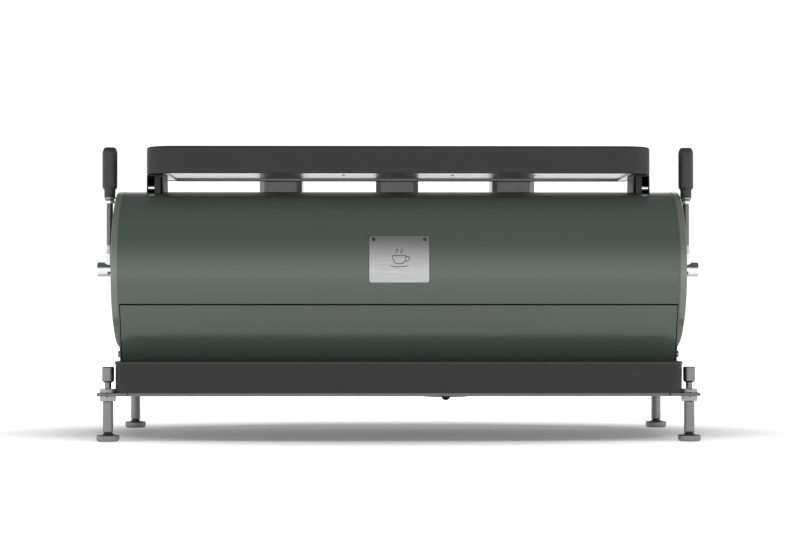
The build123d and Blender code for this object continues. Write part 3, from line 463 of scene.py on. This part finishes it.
# one number, thin and centred on its place, read from the barista's side
def addDigit(name, text, size, place, finish, body):
    digit = bpy.data.curves.new(name, "FONT")
    digit.body = text
    digit.size = size
    digit.extrude = 0.00006
    digit.align_x = "CENTER"
    digit.align_y = "CENTER"
    digit.materials.append(material[finish])
    number = bpy.data.objects.new(name, digit)
    number.location = place
    number.rotation_euler = (math.radians(90), 0, math.radians(180))
    bpy.context.scene.collection.objects.link(number)
    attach(number, body)


# levelling feet: pad, stem and turning cap
footSizes = {
    "padHeight": 0.011, "padEdge": 0.0034, "bossHeight": 0.003, "stemRadius": 0.0086, "studRadius": 0.0055,
    "capRadius": 0.010, "capHeight": 0.026, "capChamfer": 0.0030, "nutGap": 0.0002, "studInCap": 0.002,
}


def makeFoot(node):
    low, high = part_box(node)
    body = nodes[node]["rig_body"]
    spot = Vector(((low.x + high.x) / 2, (low.y + high.y) / 2, 0))
    s = footSizes
    pad, stem, stud, cap = (high.x - low.x) / 2, s["stemRadius"], s["studRadius"], s["capRadius"]
    top, boss = s["padHeight"], s["padHeight"] + s["bossHeight"]
    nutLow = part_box("foot_nuts")[0].z
    capLow = high.z - s["capHeight"]
    name = node.replace("levelling_", "")
    padLine = [
        (0, 0), (pad - 0.0030, 0), (pad - 0.0008, 0.0016), (pad, s["padEdge"]), (pad, top - 0.0014),
        (pad - 0.0012, top), (stem + 0.003, top), (stem - 0.001, boss - 0.0006), (stem - 0.002, boss),
        (0, boss),
    ]
    addPiece(f"{name}_pad", turned(softened(padLine, 0.0007)), "foot_metal", body, facing(spot), [node])
    stemTop, studTop = nutLow - s["nutGap"], capLow + s["studInCap"]
    stemLine = [
        (0, boss), (stem - 0.002, boss), (stem - 0.0004, boss + 0.0012), (stem, boss + 0.003),
        (stem, nutLow - 0.0012), (stem - 0.0008, stemTop), (stud, stemTop), (stud, studTop), (0, studTop),
    ]
    addPiece(f"{name}_stem", turned(softened(stemLine, 0.0006)), "foot_metal", body, facing(spot))
    capLine = [
        (0, capLow), (cap - s["capChamfer"], capLow), (cap, capLow + s["capChamfer"]),
        (cap, high.z - 0.0010),
        (cap - 0.0010, high.z), (0, high.z),
    ]
    addPiece(f"{name}_cap", turned(softened(capLine, 0.0008)), "foot_metal", body, facing(spot))


for side in ("left", "right"):
    for row in ("rear", "front"):
        makeFoot(f"levelling_foot_{row}_{side}")
print("feet made")

# steam levers: rod, its collar and rings, the black grip and the set screw in the hub
leverSizes = {
    "rod": 0.0055, "collar": 0.0088, "collarLength": 0.011, "ring": 0.0098, "ringLength": 0.0032,
    "grip": 0.0127, "gripNeck": 0.0095, "neckLength": 0.0120, "shoulder": 0.0170, "setScrew": 0.0024,
    "screwDrop": 0.0065, "screwFront": 0.0105, "screwHeight": 0.003, "screwSocket": 0.0012,
    "screwDepth": 0.0016, "grooveLength": 0.0025, "steps": 64,
}


def makeLever(side):
    s = leverSizes
    rodNode, gripNode = (f"steam_lever_{part}_{side}" for part in ("rod", "grip"))
    body = nodes[rodNode]["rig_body"]
    rodLow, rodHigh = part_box(rodNode)
    spot = Vector(((rodLow.x + rodHigh.x) / 2, axisY, 0))
    z0, z1, z2 = rodLow.z, rodHigh.z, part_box(gripNode)[1].z
    rod, collar, ring, steps = s["rod"], s["collar"], s["ring"], s["steps"]
    groove = z1 - s["ringLength"]
    collarLow, collarTop = z1 - s["collarLength"], groove - s["grooveLength"]
    rodLine = [(0, z0), (rod, z0), (rod, collarLow), (0, collarLow)]
    addPiece(f"lever_rod_{side}", turned(rodLine, steps), "dark_steel", body, facing(spot), [rodNode])
    collarLine = [
        (0, collarLow), (collar - 0.0010, collarLow), (collar, groove - 0.0068),
        (collar, groove - 0.0030), (collar - 0.0006, collarTop), (0, collarTop),
    ]
    collarShape = turned(softened(collarLine, 0.0004), steps)
    addPiece(f"lever_collar_{side}", collarShape, "chrome", body, facing(spot))
    sunk = collar - 0.0012
    grooveLine = [(0, collarTop), (sunk, collarTop), (sunk, groove), (0, groove)]
    addPiece(f"lever_groove_{side}", turned(grooveLine, steps), "dark_steel", body, facing(spot))
    ringLine = [
        (0, groove), (ring - 0.0005, groove), (ring, groove + 0.0006), (ring, z1 - 0.0005),
        (ring - 0.0004, z1),
        (0, z1),
    ]
    ringShape = turned(softened(ringLine, 0.0003), steps)
    addPiece(f"lever_ring_{side}", ringShape, "bright_steel", body, facing(spot))
    grip, neck = s["grip"], s["gripNeck"]
    gripLine = [
        (0, z1), (neck - 0.0006, z1), (neck, z1 + 0.0008), (neck, z1 + s["neckLength"]),
        (grip, z1 + s["shoulder"]), (grip, z2 - 0.0085), (grip - 0.0011, z2 - 0.0042),
        (grip - 0.0032, z2 - 0.0008), (grip - 0.0042, z2), (0, z2),
    ]
    gripShape = turned(softened(gripLine, 0.0010))
    addPiece(f"lever_grip_{side}", gripShape, "black_grip", body, facing(spot), [gripNode])
    screwPlace = (spot.x, axisY - s["screwFront"], axisZ - s["screwDrop"])
    screw = socketHead(s["setScrew"], s["screwHeight"], s["screwSocket"], s["screwDepth"])
    addPiece(f"lever_set_screw_{side}", screw, "dark_steel", body, facing(screwPlace, (0, -1, 0)))


for side in ("left", "right"):
    makeLever(side)
print("steam levers made")

# nameplate: a cup engraved and filled with dark ink
markSizes = {"line": 0.0011, "rise": 0.00006, "scale": 0.001}
cupLines = {
    "bowl": [(-11, 6), (-10, -1), (-6.5, -6.5), (0, -8), (6.5, -6.5), (10, -1), (11, 6)],
    "rim": [(-11, 6), (11, 6)],
    "handle": [(10.6, 4), (15, 4.2), (16.5, 0.5), (13.5, -3), (9, -3.2)],
    "saucer": [(-15, -11), (-7, -12.4), (0, -12.8), (7, -12.4), (15, -11)],
    "steamLeft": [(-4, 9.5), (-5.6, 12), (-2.6, 14.6), (-4.2, 17.2)],
    "steamRight": [(4, 9.5), (2.4, 12), (5.4, 14.6), (3.8, 17.2)],
}


# a smooth line through points, as more points
def smoothLine(points, parts=8):
    if len(points) < 3:
        return [Vector(p) for p in points]
    given = [Vector(p) for p in points]
    ends = [given[0] * 2 - given[1], *given, given[-1] * 2 - given[-2]]
    made = []
    for a, b, c, d in zip(ends, ends[1:], ends[2:], ends[3:]):
        for k in range(parts):
            t = k / parts
            squared = (2 * a - 5 * b + 4 * c - d) * t**2
            cubed = (3 * b - a - 3 * c + d) * t**3
            made.append(0.5 * (2 * b + (c - a) * t + squared + cubed))
    return made + [Vector(points[-1])]


def makePlateMark():
    low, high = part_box("nameplate")
    radius = axisY - low.y + markSizes["rise"]
    middle = ((low.z + high.z) / 2 - axisZ) / radius
    shape = bmesh.new()
    for points in cupLines.values():
        line = smoothLine(points)
        rails = []
        for here, before, after in zip(line, line[:1] + line[:-1], line[1:] + line[-1:]):
            along = (after - before).normalized()
            across = Vector((-along.y, along.x)) * markSizes["line"] / 2
            pair = []
            for sign in (-1, 1):
                spot = here * markSizes["scale"] + sign * across
                angle = middle + spot.y / radius
                for reach in (radius, radius - 2 * markSizes["rise"]):
                    pair.append(shape.verts.new((
                        spot.x, axisY - reach * math.cos(angle), axisZ + reach * math.sin(angle)
                    )))
            rails.append(pair)
        for (a, b, c, d), (e, f, g, h) in zip(rails, rails[1:]):
            for corners in ((a, c, g, e), (b, f, h, d), (a, e, f, b), (c, d, h, g)):
                shape.faces.new(corners)
        for a, b, c, d in (rails[0], rails[-1]):
            shape.faces.new((a, b, d, c))
    addPiece("nameplate_cup_mark", shape, "ink", "machine")


makePlateMark()

# screws and spacers: each takes the place of one solid of the screws' node
# each row gives the head's radius, its height where that is its own, the socket's radius and its depth
screwSizes = {
    "undersideHead": 0.0030, "undersideSocket": 0.0014, "undersideDepth": 0.0007,
    "plateHead": 0.0026, "plateHeight": 0.0019, "plateSocket": 0.0013, "plateDepth": 0.0011,
    "plateSeat": 0.0004,
    "skirtHead": 0.0052, "skirtSocket": 0.0026, "skirtDepth": 0.0022,
}


def makeScrews():
    s = screwSizes
    first = True
    count = {}

    def put(name, shape, finish, place):
        nonlocal first
        count[name] = count.get(name, 0) + 1
        replaced = ["panel_screws"] if first else []
        first = False
        addPiece(f"{name}_{count[name]}", shape, finish, "machine", place, replaced)

    for low, high in solidBoxes("panel_screws"):
        middle, size = (low + high) / 2, high - low
        outward = 1 if middle.x > 0 else -1
        if low.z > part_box("cup_tray")[0].z:
            head = socketHead(s["undersideHead"], size.z, s["undersideSocket"], s["undersideDepth"])
            put("underside_screw", head, "bright_steel", facing((middle.x, middle.y, high.z), (0, 0, -1)))
        elif low.z > axisZ + shellRadius:
            bar = turned(softened([(0, 0), (size.z / 2, 0), (size.z / 2, size.x), (0, size.x)], 0.0003), 48)
            put("bracket_spacer", bar, "chrome", facing((low.x, middle.y, middle.z), (1, 0, 0)))
        elif low.z > axisZ:
            angle = math.asin((middle.z - axisZ) / math.hypot(middle.y - axisY, middle.z - axisZ))
            away = Vector((0, -math.cos(angle), math.sin(angle)))
            seat = Vector((middle.x, axisY, axisZ)) + away * (shellRadius + s["plateSeat"])
            head = socketHead(s["plateHead"], s["plateHeight"], s["plateSocket"], s["plateDepth"])
            put("nameplate_screw", head, "dark_steel", facing(seat, away))
        else:
            head = socketHead(s["skirtHead"], size.x, s["skirtSocket"], s["skirtDepth"])
            start = low.x if outward > 0 else high.x
            put("skirt_screw", head, "bright_steel", facing((start, middle.y, middle.z), (outward, 0, 0)))


makeScrews()
print("nameplate mark and screws made")

# pressure gauge: case, rolled bezel, dial with ticks and numbers, needle and glass
gaugeSizes = {
    "bezelDepth": 0.011, "bezelWall": 0.005, "case": 0.027, "dialBack": 0.0058, "glassBack": 0.0030,
    "glassThick": 0.0016, "tickOuter": 0.0245, "bigTick": 0.0045, "smallTick": 0.0025,
    "numberReach": 0.0165, "numberSize": 0.0062, "startAngle": 225, "sweep": 270, "bigSteps": 3,
    "smallSteps": 5, "needleAngle": 120, "dialThick": 0.0004, "dialGap": 0.0002, "printRise": 0.00008,
    "bigTickHalf": 0.0005, "smallTickHalf": 0.00025, "needleLift": 0.0012, "needleThick": 0.0004,
    "lip": 0.0060,
}


def makeGauge():
    s = gaugeSizes
    low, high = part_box("pressure_gauge")
    middle = Vector(((low.x + high.x) / 2, 0, (low.z + high.z) / 2))
    rim = (high.x - low.x) / 2
    inner = rim - s["bezelWall"]
    back = high.y - s["bezelDepth"]
    caseLength = back - low.y
    axis = (0, 1, 0)
    caseLine = [(0, 0), (s["case"] - 0.001, 0), (s["case"], 0.001), (s["case"], caseLength), (0, caseLength)]
    place = facing((middle.x, low.y, middle.z), axis)
    addPiece("gauge_case", turned(caseLine, 64), "black_plastic", "machine", place, ["pressure_gauge"])
    deep = s["bezelDepth"]
    bezelLine = [
        (0, 0), (rim - 0.001, 0), (rim, 0.001), (rim, deep - 0.0035), (rim - 0.0012, deep - 0.0010),
        (rim - 0.0030, deep), (inner + 0.0006, deep - 0.0006), (inner, deep - 0.0016),
        (inner, deep - s["lip"]),
        (0, deep - s["lip"]),
    ]
    place = facing((middle.x, back, middle.z), axis)
    addPiece("gauge_bezel", turned(softened(bezelLine, 0.0009)), "chrome", "machine", place)
    dialRadius, dialThick = inner - s["dialGap"], s["dialThick"]
    dialLine = [(0, 0), (dialRadius, 0), (dialRadius, dialThick), (0, dialThick)]
    place = facing((middle.x, high.y - s["dialBack"], middle.z), axis)
    addPiece("gauge_dial", turned(dialLine, 96), "dial", "machine", place)
    printY = high.y - s["dialBack"] + dialThick

    # seen from the barista's side the dial's right is -X
    def onDial(angle, reach, lift=0.0):
        a = math.radians(angle)
        return Vector((middle.x - reach * math.cos(a), printY + lift, middle.z + reach * math.sin(a)))

    ticks = bmesh.new()
    total = s["bigSteps"] * s["smallSteps"]
    for k in range(total + 1):
        angle = s["startAngle"] - s["sweep"] * k / total
        big = k % s["smallSteps"] == 0
        length = s["bigTick"] if big else s["smallTick"]
        half = s["bigTickHalf"] if big else s["smallTickHalf"]
        outer = s["tickOuter"]
        spread = math.degrees(half / outer)
        base = [onDial(angle + sign * spread, reach) for sign, reach in
                ((-1, outer), (1, outer), (1, outer - length), (-1, outer - length))]
        lower = [ticks.verts.new(p) for p in base]
        upper = [ticks.verts.new(p + Vector((0, s["printRise"], 0))) for p in base]
        ticks.faces.new(upper)
        ticks.faces.new(lower)
        for i in range(4):
            ticks.faces.new((lower[i], lower[(i + 1) % 4], upper[(i + 1) % 4], upper[i]))
    addPiece("gauge_ticks", ticks, "ink", "machine")
    for k in range(s["bigSteps"] + 1):
        angle = s["startAngle"] - s["sweep"] * k / s["bigSteps"]
        place = onDial(angle, s["numberReach"], s["printRise"])
        addDigit(f"gauge_number_{k}", str(k), s["numberSize"], place, "ink", "machine")
    needle = bmesh.new()
    points = [onDial(s["needleAngle"] + turn, reach, s["needleLift"]) for turn, reach in
              ((0, 0.0205), (85, 0.0011), (176, 0.007), (184, 0.007), (275, 0.0011))]
    under = [needle.verts.new(p) for p in points]
    over = [needle.verts.new(p + Vector((0, s["needleThick"], 0))) for p in points]
    needle.faces.new(under)
    needle.faces.new(over)
    for i in range(5):
        needle.faces.new((under[i], under[(i + 1) % 5], over[(i + 1) % 5], over[i]))
    addPiece("gauge_needle", needle, "redPointer", "machine")
    hubLine = [(0, 0), (0.0030, 0), (0.0030, 0.0018), (0.0022, 0.0024), (0, 0.0024)]
    place = facing((middle.x, printY, middle.z), axis)
    addPiece("gauge_needle_hub", turned(softened(hubLine, 0.0003), 48), "dark_steel", "machine", place)
    glassLine = [(0, 0), (inner, 0), (inner, s["glassThick"]), (0, s["glassThick"])]
    place = facing((middle.x, high.y - s["glassBack"], middle.z), axis)
    addPiece("gauge_glass", turned(glassLine, 96), "gaugeGlass", "machine", place)


makeGauge()
print("pressure gauge made")

# portafilter handles: moulded grip, chrome ferrule and end cap
handleSizes = {
    "neckBelowHead": 0.0115, "droop": 8, "root": 0.0110, "belly": 0.0140, "length": 0.128, "skip": 0.0022,
    "ferruleStep": 0.0006, "ferruleEnd": 0.0085, "gripStart": 0.0105, "steps": 24, "tipSteps": 12,
    "tipRise": 0.92, "button": 0.0052, "buttonSunk": 0.0018,
}


def makeHandle(number):
    s = handleSizes
    node = f"portafilter_handle_{number}"
    low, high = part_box(node)
    body = nodes[node]["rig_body"]
    droop = math.radians(s["droop"])
    start = Vector(((low.x + high.x) / 2, low.y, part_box("group_heads")[0].z - s["neckBelowHead"]))
    along = Vector((0, math.cos(droop), -math.sin(droop)))
    place = facing(start, along)
    belly, root, length = s["belly"], s["root"], s["length"]
    skip = s["skip"]        # the grip starts clear of the bowl's neck
    wide, ferruleEnd = root + s["ferruleStep"], s["ferruleEnd"]
    ferruleLine = [
        (0, skip), (root, skip), (root, 0.0045), (wide, 0.0052), (wide, ferruleEnd), (0, ferruleEnd),
    ]
    addPiece(f"handle_ferrule_{number}", turned(softened(ferruleLine, 0.0004)), "chrome", body, place, [node])
    slim = root + 0.0002
    line = [(0, ferruleEnd), (root - 0.0002, ferruleEnd), (slim, 0.0100)]
    gripStart, steps = s["gripStart"], s["steps"]
    # the grip swells to its belly at 0.72 of its length and keeps that width
    for k in range(steps + 1):
        t = k / steps
        swell = math.sin(math.pi * min(t, 0.72) / 1.44)
        line.append((slim + (belly - root - 0.0002) * swell**1.4, gripStart + t * (length - gripStart)))
    tipSteps, tipRise = s["tipSteps"], s["tipRise"]
    for k in range(1, tipSteps):
        a = math.pi / 2 * k / tipSteps
        line.append((belly * math.cos(a), length + belly * math.sin(a) * tipRise))
    line.append((0, length + belly * tipRise))
    addPiece(f"handle_grip_{number}", turned(line), "black_grip", body, place)
    button = s["button"]
    buttonLine = [(0, 0), (button, 0), (button, 0.0016), (button - 0.0008, 0.0022), (0, 0.0024)]
    end = place @ Matrix.Translation((0, 0, length + belly * tipRise - s["buttonSunk"]))
    addPiece(f"handle_button_{number}", turned(softened(buttonLine, 0.0004), 48), "chrome", body, end)


for number in (1, 2, 3):
    makeHandle(number)
print("handles made")

# steam wands: a ribbed silicone sleeve on the slanted run
wandSizes = {
    "ball": 0.010, "bendTop": (0, -0.038), "bendLow": (0.032, -0.098), "sleeveStart": 0.014,
    "sleeveLength": 0.038, "wand": 0.0046, "sleeve": 0.0064, "rib": 0.0008, "ribs": 9,
}


def makeSleeve(side):
    s = wandSizes
    node = f"steam_wand_{side}"
    body = nodes[node]["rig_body"]
    low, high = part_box(node)
    ball = Vector(((low.x + high.x) / 2, low.y + s["ball"], high.z - s["ball"]))
    top, foot = Vector((0, *s["bendTop"])), Vector((0, *s["bendLow"]))
    along = (foot - top).normalized()
    start = ball + top + along * s["sleeveStart"]
    line = [(s["wand"], 0), (s["sleeve"] - 0.0006, 0)]
    pitch = s["sleeveLength"] / s["ribs"]
    for k in range(s["ribs"]):
        z = k * pitch
        line += [
            (s["sleeve"], z + 0.2 * pitch), (s["sleeve"], z + 0.6 * pitch),
            (s["sleeve"] - s["rib"], z + 0.75 * pitch), (s["sleeve"] - s["rib"], z + 0.9 * pitch),
        ]
    line += [(s["sleeve"] - 0.0006, s["sleeveLength"]), (s["wand"], s["sleeveLength"]), (s["wand"], 0)]
    sleeve = turned(softened(line, 0.0004, 3), 64)
    addPiece(f"wand_sleeve_{side}", sleeve, "gasket_rubber", body, facing(start, along))


for side in ("left", "right"):
    makeSleeve(side)
print("wand sleeves made")

# main switch: white pointer line on the knob, and its two numbers on the base
switchSizes = {
    "lineHalf": 0.0006, "lineLow": 0.004, "lineTop": 0.0115, "lineDeep": 0.0006, "lineSunk": 0.00005,
    "lineEdge": 0.0002, "numberSize": 0.007, "numberReach": 0.021, "numberRise": 0.00006,
}


def makeSwitchMarks():
    s = switchSizes
    low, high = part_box("power_switch")
    middle = (low + high) / 2
    line = softBlock(
        (middle.x - s["lineHalf"], high.y - s["lineDeep"], middle.z + s["lineLow"]),
        (middle.x + s["lineHalf"], high.y - s["lineSunk"], middle.z + s["lineTop"]), s["lineEdge"],
    )
    addPiece("switch_pointer", line, "dial", "power_switch")
    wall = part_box("base_surround")[1].y
    for text, x, z in (("0", 0, s["numberReach"]), ("1", -s["numberReach"], 0)):
        place = (middle.x + x, wall + s["numberRise"], middle.z + z)
        addDigit(f"switch_number_{text}", text, s["numberSize"], place, "dial", "machine")


makeSwitchMarks()
print("switch marks made")

# floor, light and camera
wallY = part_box("base_surround")[0].y
# the floor's glow levels are painted light, held low beneath the machine as painted shade
stageSizes = {
    "floor": 60.0, "floorTone": (0.86, 0.86, 0.86), "lowSky": 1.35, "highSky": 0.11, "backdrop": 1.15,
    "underGlow": 0.10, "nearGlow": 0.65, "farGlow": 1.3, "lengthShare": 0.56,
    "reaches": (0.27, 0.42, 0.6, 2.2),
}


def makeStage():
    mesh = bpy.data.meshes.new("floor")
    half = stageSizes["floor"] / 2
    corners = [(-half, -half, 0), (half, -half, 0), (half, half, 0), (-half, half, 0)]
    mesh.from_pydata(corners, [], [(0, 1, 2, 3)])
    floor = bpy.data.objects.new("floor", mesh)
    bpy.context.scene.collection.objects.link(floor)
    paper = bpy.data.materials.new("paperFloor")
    paper.use_nodes = True
    tree = paper.node_tree
    shader = tree.nodes["Principled BSDF"]
    fibre = fillGroup(tree, cloudGroup, {"Scale": 3.0, "Amount": 0.06})
    tone = stageSizes["floorTone"]
    colour = mixColour(tree, fibre.outputs[0], (*tone, 1), (*[c * 0.96 for c in tone], 1))
    tree.links.new(colour, shader.inputs["Base Color"])
    shader.inputs["Roughness"].default_value = 0.7
    # painted light: the paper glows, faintly beneath the machine and more away from it, which paints the shade
    # under the machine and lights the machine from below
    where = addNode(tree, "ShaderNodeTexCoord")
    oval = addNode(
        tree, "ShaderNodeVectorMath", {0: where.outputs["Object"], 1: (stageSizes["lengthShare"], 1, 1)},
        operation="MULTIPLY",
    )
    away = addNode(tree, "ShaderNodeVectorMath", {0: oval.outputs[0]}, operation="LENGTH").outputs["Value"]
    under, near, far = (stageSizes[k] for k in ("underGlow", "nearGlow", "farGlow"))
    start, beside, open1, open2 = stageSizes["reaches"]
    close = addNode(tree, "ShaderNodeMapRange", {0: away, 1: start, 2: beside, 3: under, 4: near})
    wide = addNode(tree, "ShaderNodeMapRange", {0: away, 1: open1, 2: open2, 3: 0.0, 4: far - near})
    shader.inputs["Emission Color"].default_value = (1, 1, 1, 1)
    tree.links.new(math2(tree, "ADD", close.outputs[0], wide.outputs[0]), shader.inputs["Emission Strength"])
    mesh.materials.append(paper)


def makeWorld():
    world = bpy.data.worlds.new("studio")
    bpy.context.scene.world = world
    world.use_nodes = True
    tree = world.node_tree
    back = tree.nodes["Background"]
    # the room is bright low down and dim overhead
    where = addNode(tree, "ShaderNodeTexCoord")
    height = addNode(tree, "ShaderNodeSeparateXYZ", {0: where.outputs["Generated"]})
    room = addNode(
        tree, "ShaderNodeMapRange",
        {0: height.outputs[2], 1: 0.10, 2: 0.60, 3: stageSizes["lowSky"], 4: stageSizes["highSky"]},
    )
    seen = addNode(tree, "ShaderNodeLightPath")
    strength = addNode(
        tree, "ShaderNodeMix",
        {0: seen.outputs["Is Camera Ray"], 2: room.outputs[0], 3: stageSizes["backdrop"]},
    )
    tree.links.new(strength.outputs[0], back.inputs["Strength"])
    back.inputs["Color"].default_value = (1, 1, 1, 1)


def addSoftbox(name, place, aim, width, height, power):
    lamp = bpy.data.lights.new(name, "AREA")
    lamp.shape = "RECTANGLE"
    lamp.size, lamp.size_y = width, height
    lamp.energy = power
    box = bpy.data.objects.new(name, lamp)
    box.location = place
    box.rotation_euler = (Vector(aim) - Vector(place)).to_track_quat("-Z", "Y").to_euler()
    box.visible_glossy = False  # broad and even, so no hot streak shows on the paint
    bpy.context.scene.collection.objects.link(box)


cameraSizes = {"aside": -0.046, "back": 3.643, "height": 0.221, "turn": -0.7415, "tilt": 0.933, "lens": 100.0}


def makeCamera():
    lens = bpy.data.cameras.new("photographer")
    lens.lens = cameraSizes["lens"]
    lens.sensor_width = 36.0
    lens.clip_end = 200.0
    camera = bpy.data.objects.new("photographer", lens)
    camera.location = (cameraSizes["aside"], wallY - cameraSizes["back"], cameraSizes["height"])
    camera.rotation_euler = (math.radians(90 + cameraSizes["tilt"]), 0, math.radians(cameraSizes["turn"]))
    bpy.context.scene.collection.objects.link(camera)
    bpy.context.scene.camera = camera


# the key hangs high and a little to one side; the other softbox opens up the barista's side
lightSizes = {
    "keyAway": 3.2, "keyUp": 68, "keySide": 14, "keyAim": (0.2, 0.2), "keySize": (2.6, 1.1), "keyPower": 32,
    "workPlace": (0.5, 2.7, 2.1), "workAim": (0, 0.1, 0.25), "workSize": (2.4, 1.2), "workPower": 12,
}


def makeLights():
    s = lightSizes
    away, up, aside = s["keyAway"], math.radians(s["keyUp"]), math.radians(s["keySide"])
    flat = away * math.cos(up)
    keyPlace = (flat * math.sin(aside), wallY - flat * math.cos(aside), away * math.sin(up))
    behind, height = s["keyAim"]
    addSoftbox("keySoftbox", keyPlace, (0, wallY + behind, height), *s["keySize"], s["keyPower"])
    addSoftbox("workSideSoftbox", s["workPlace"], s["workAim"], *s["workSize"], s["workPower"])


makeStage()
makeWorld()
makeLights()
makeCamera()
bpy.context.scene.view_settings.view_transform = "Standard"
print("stage, light and camera placed")
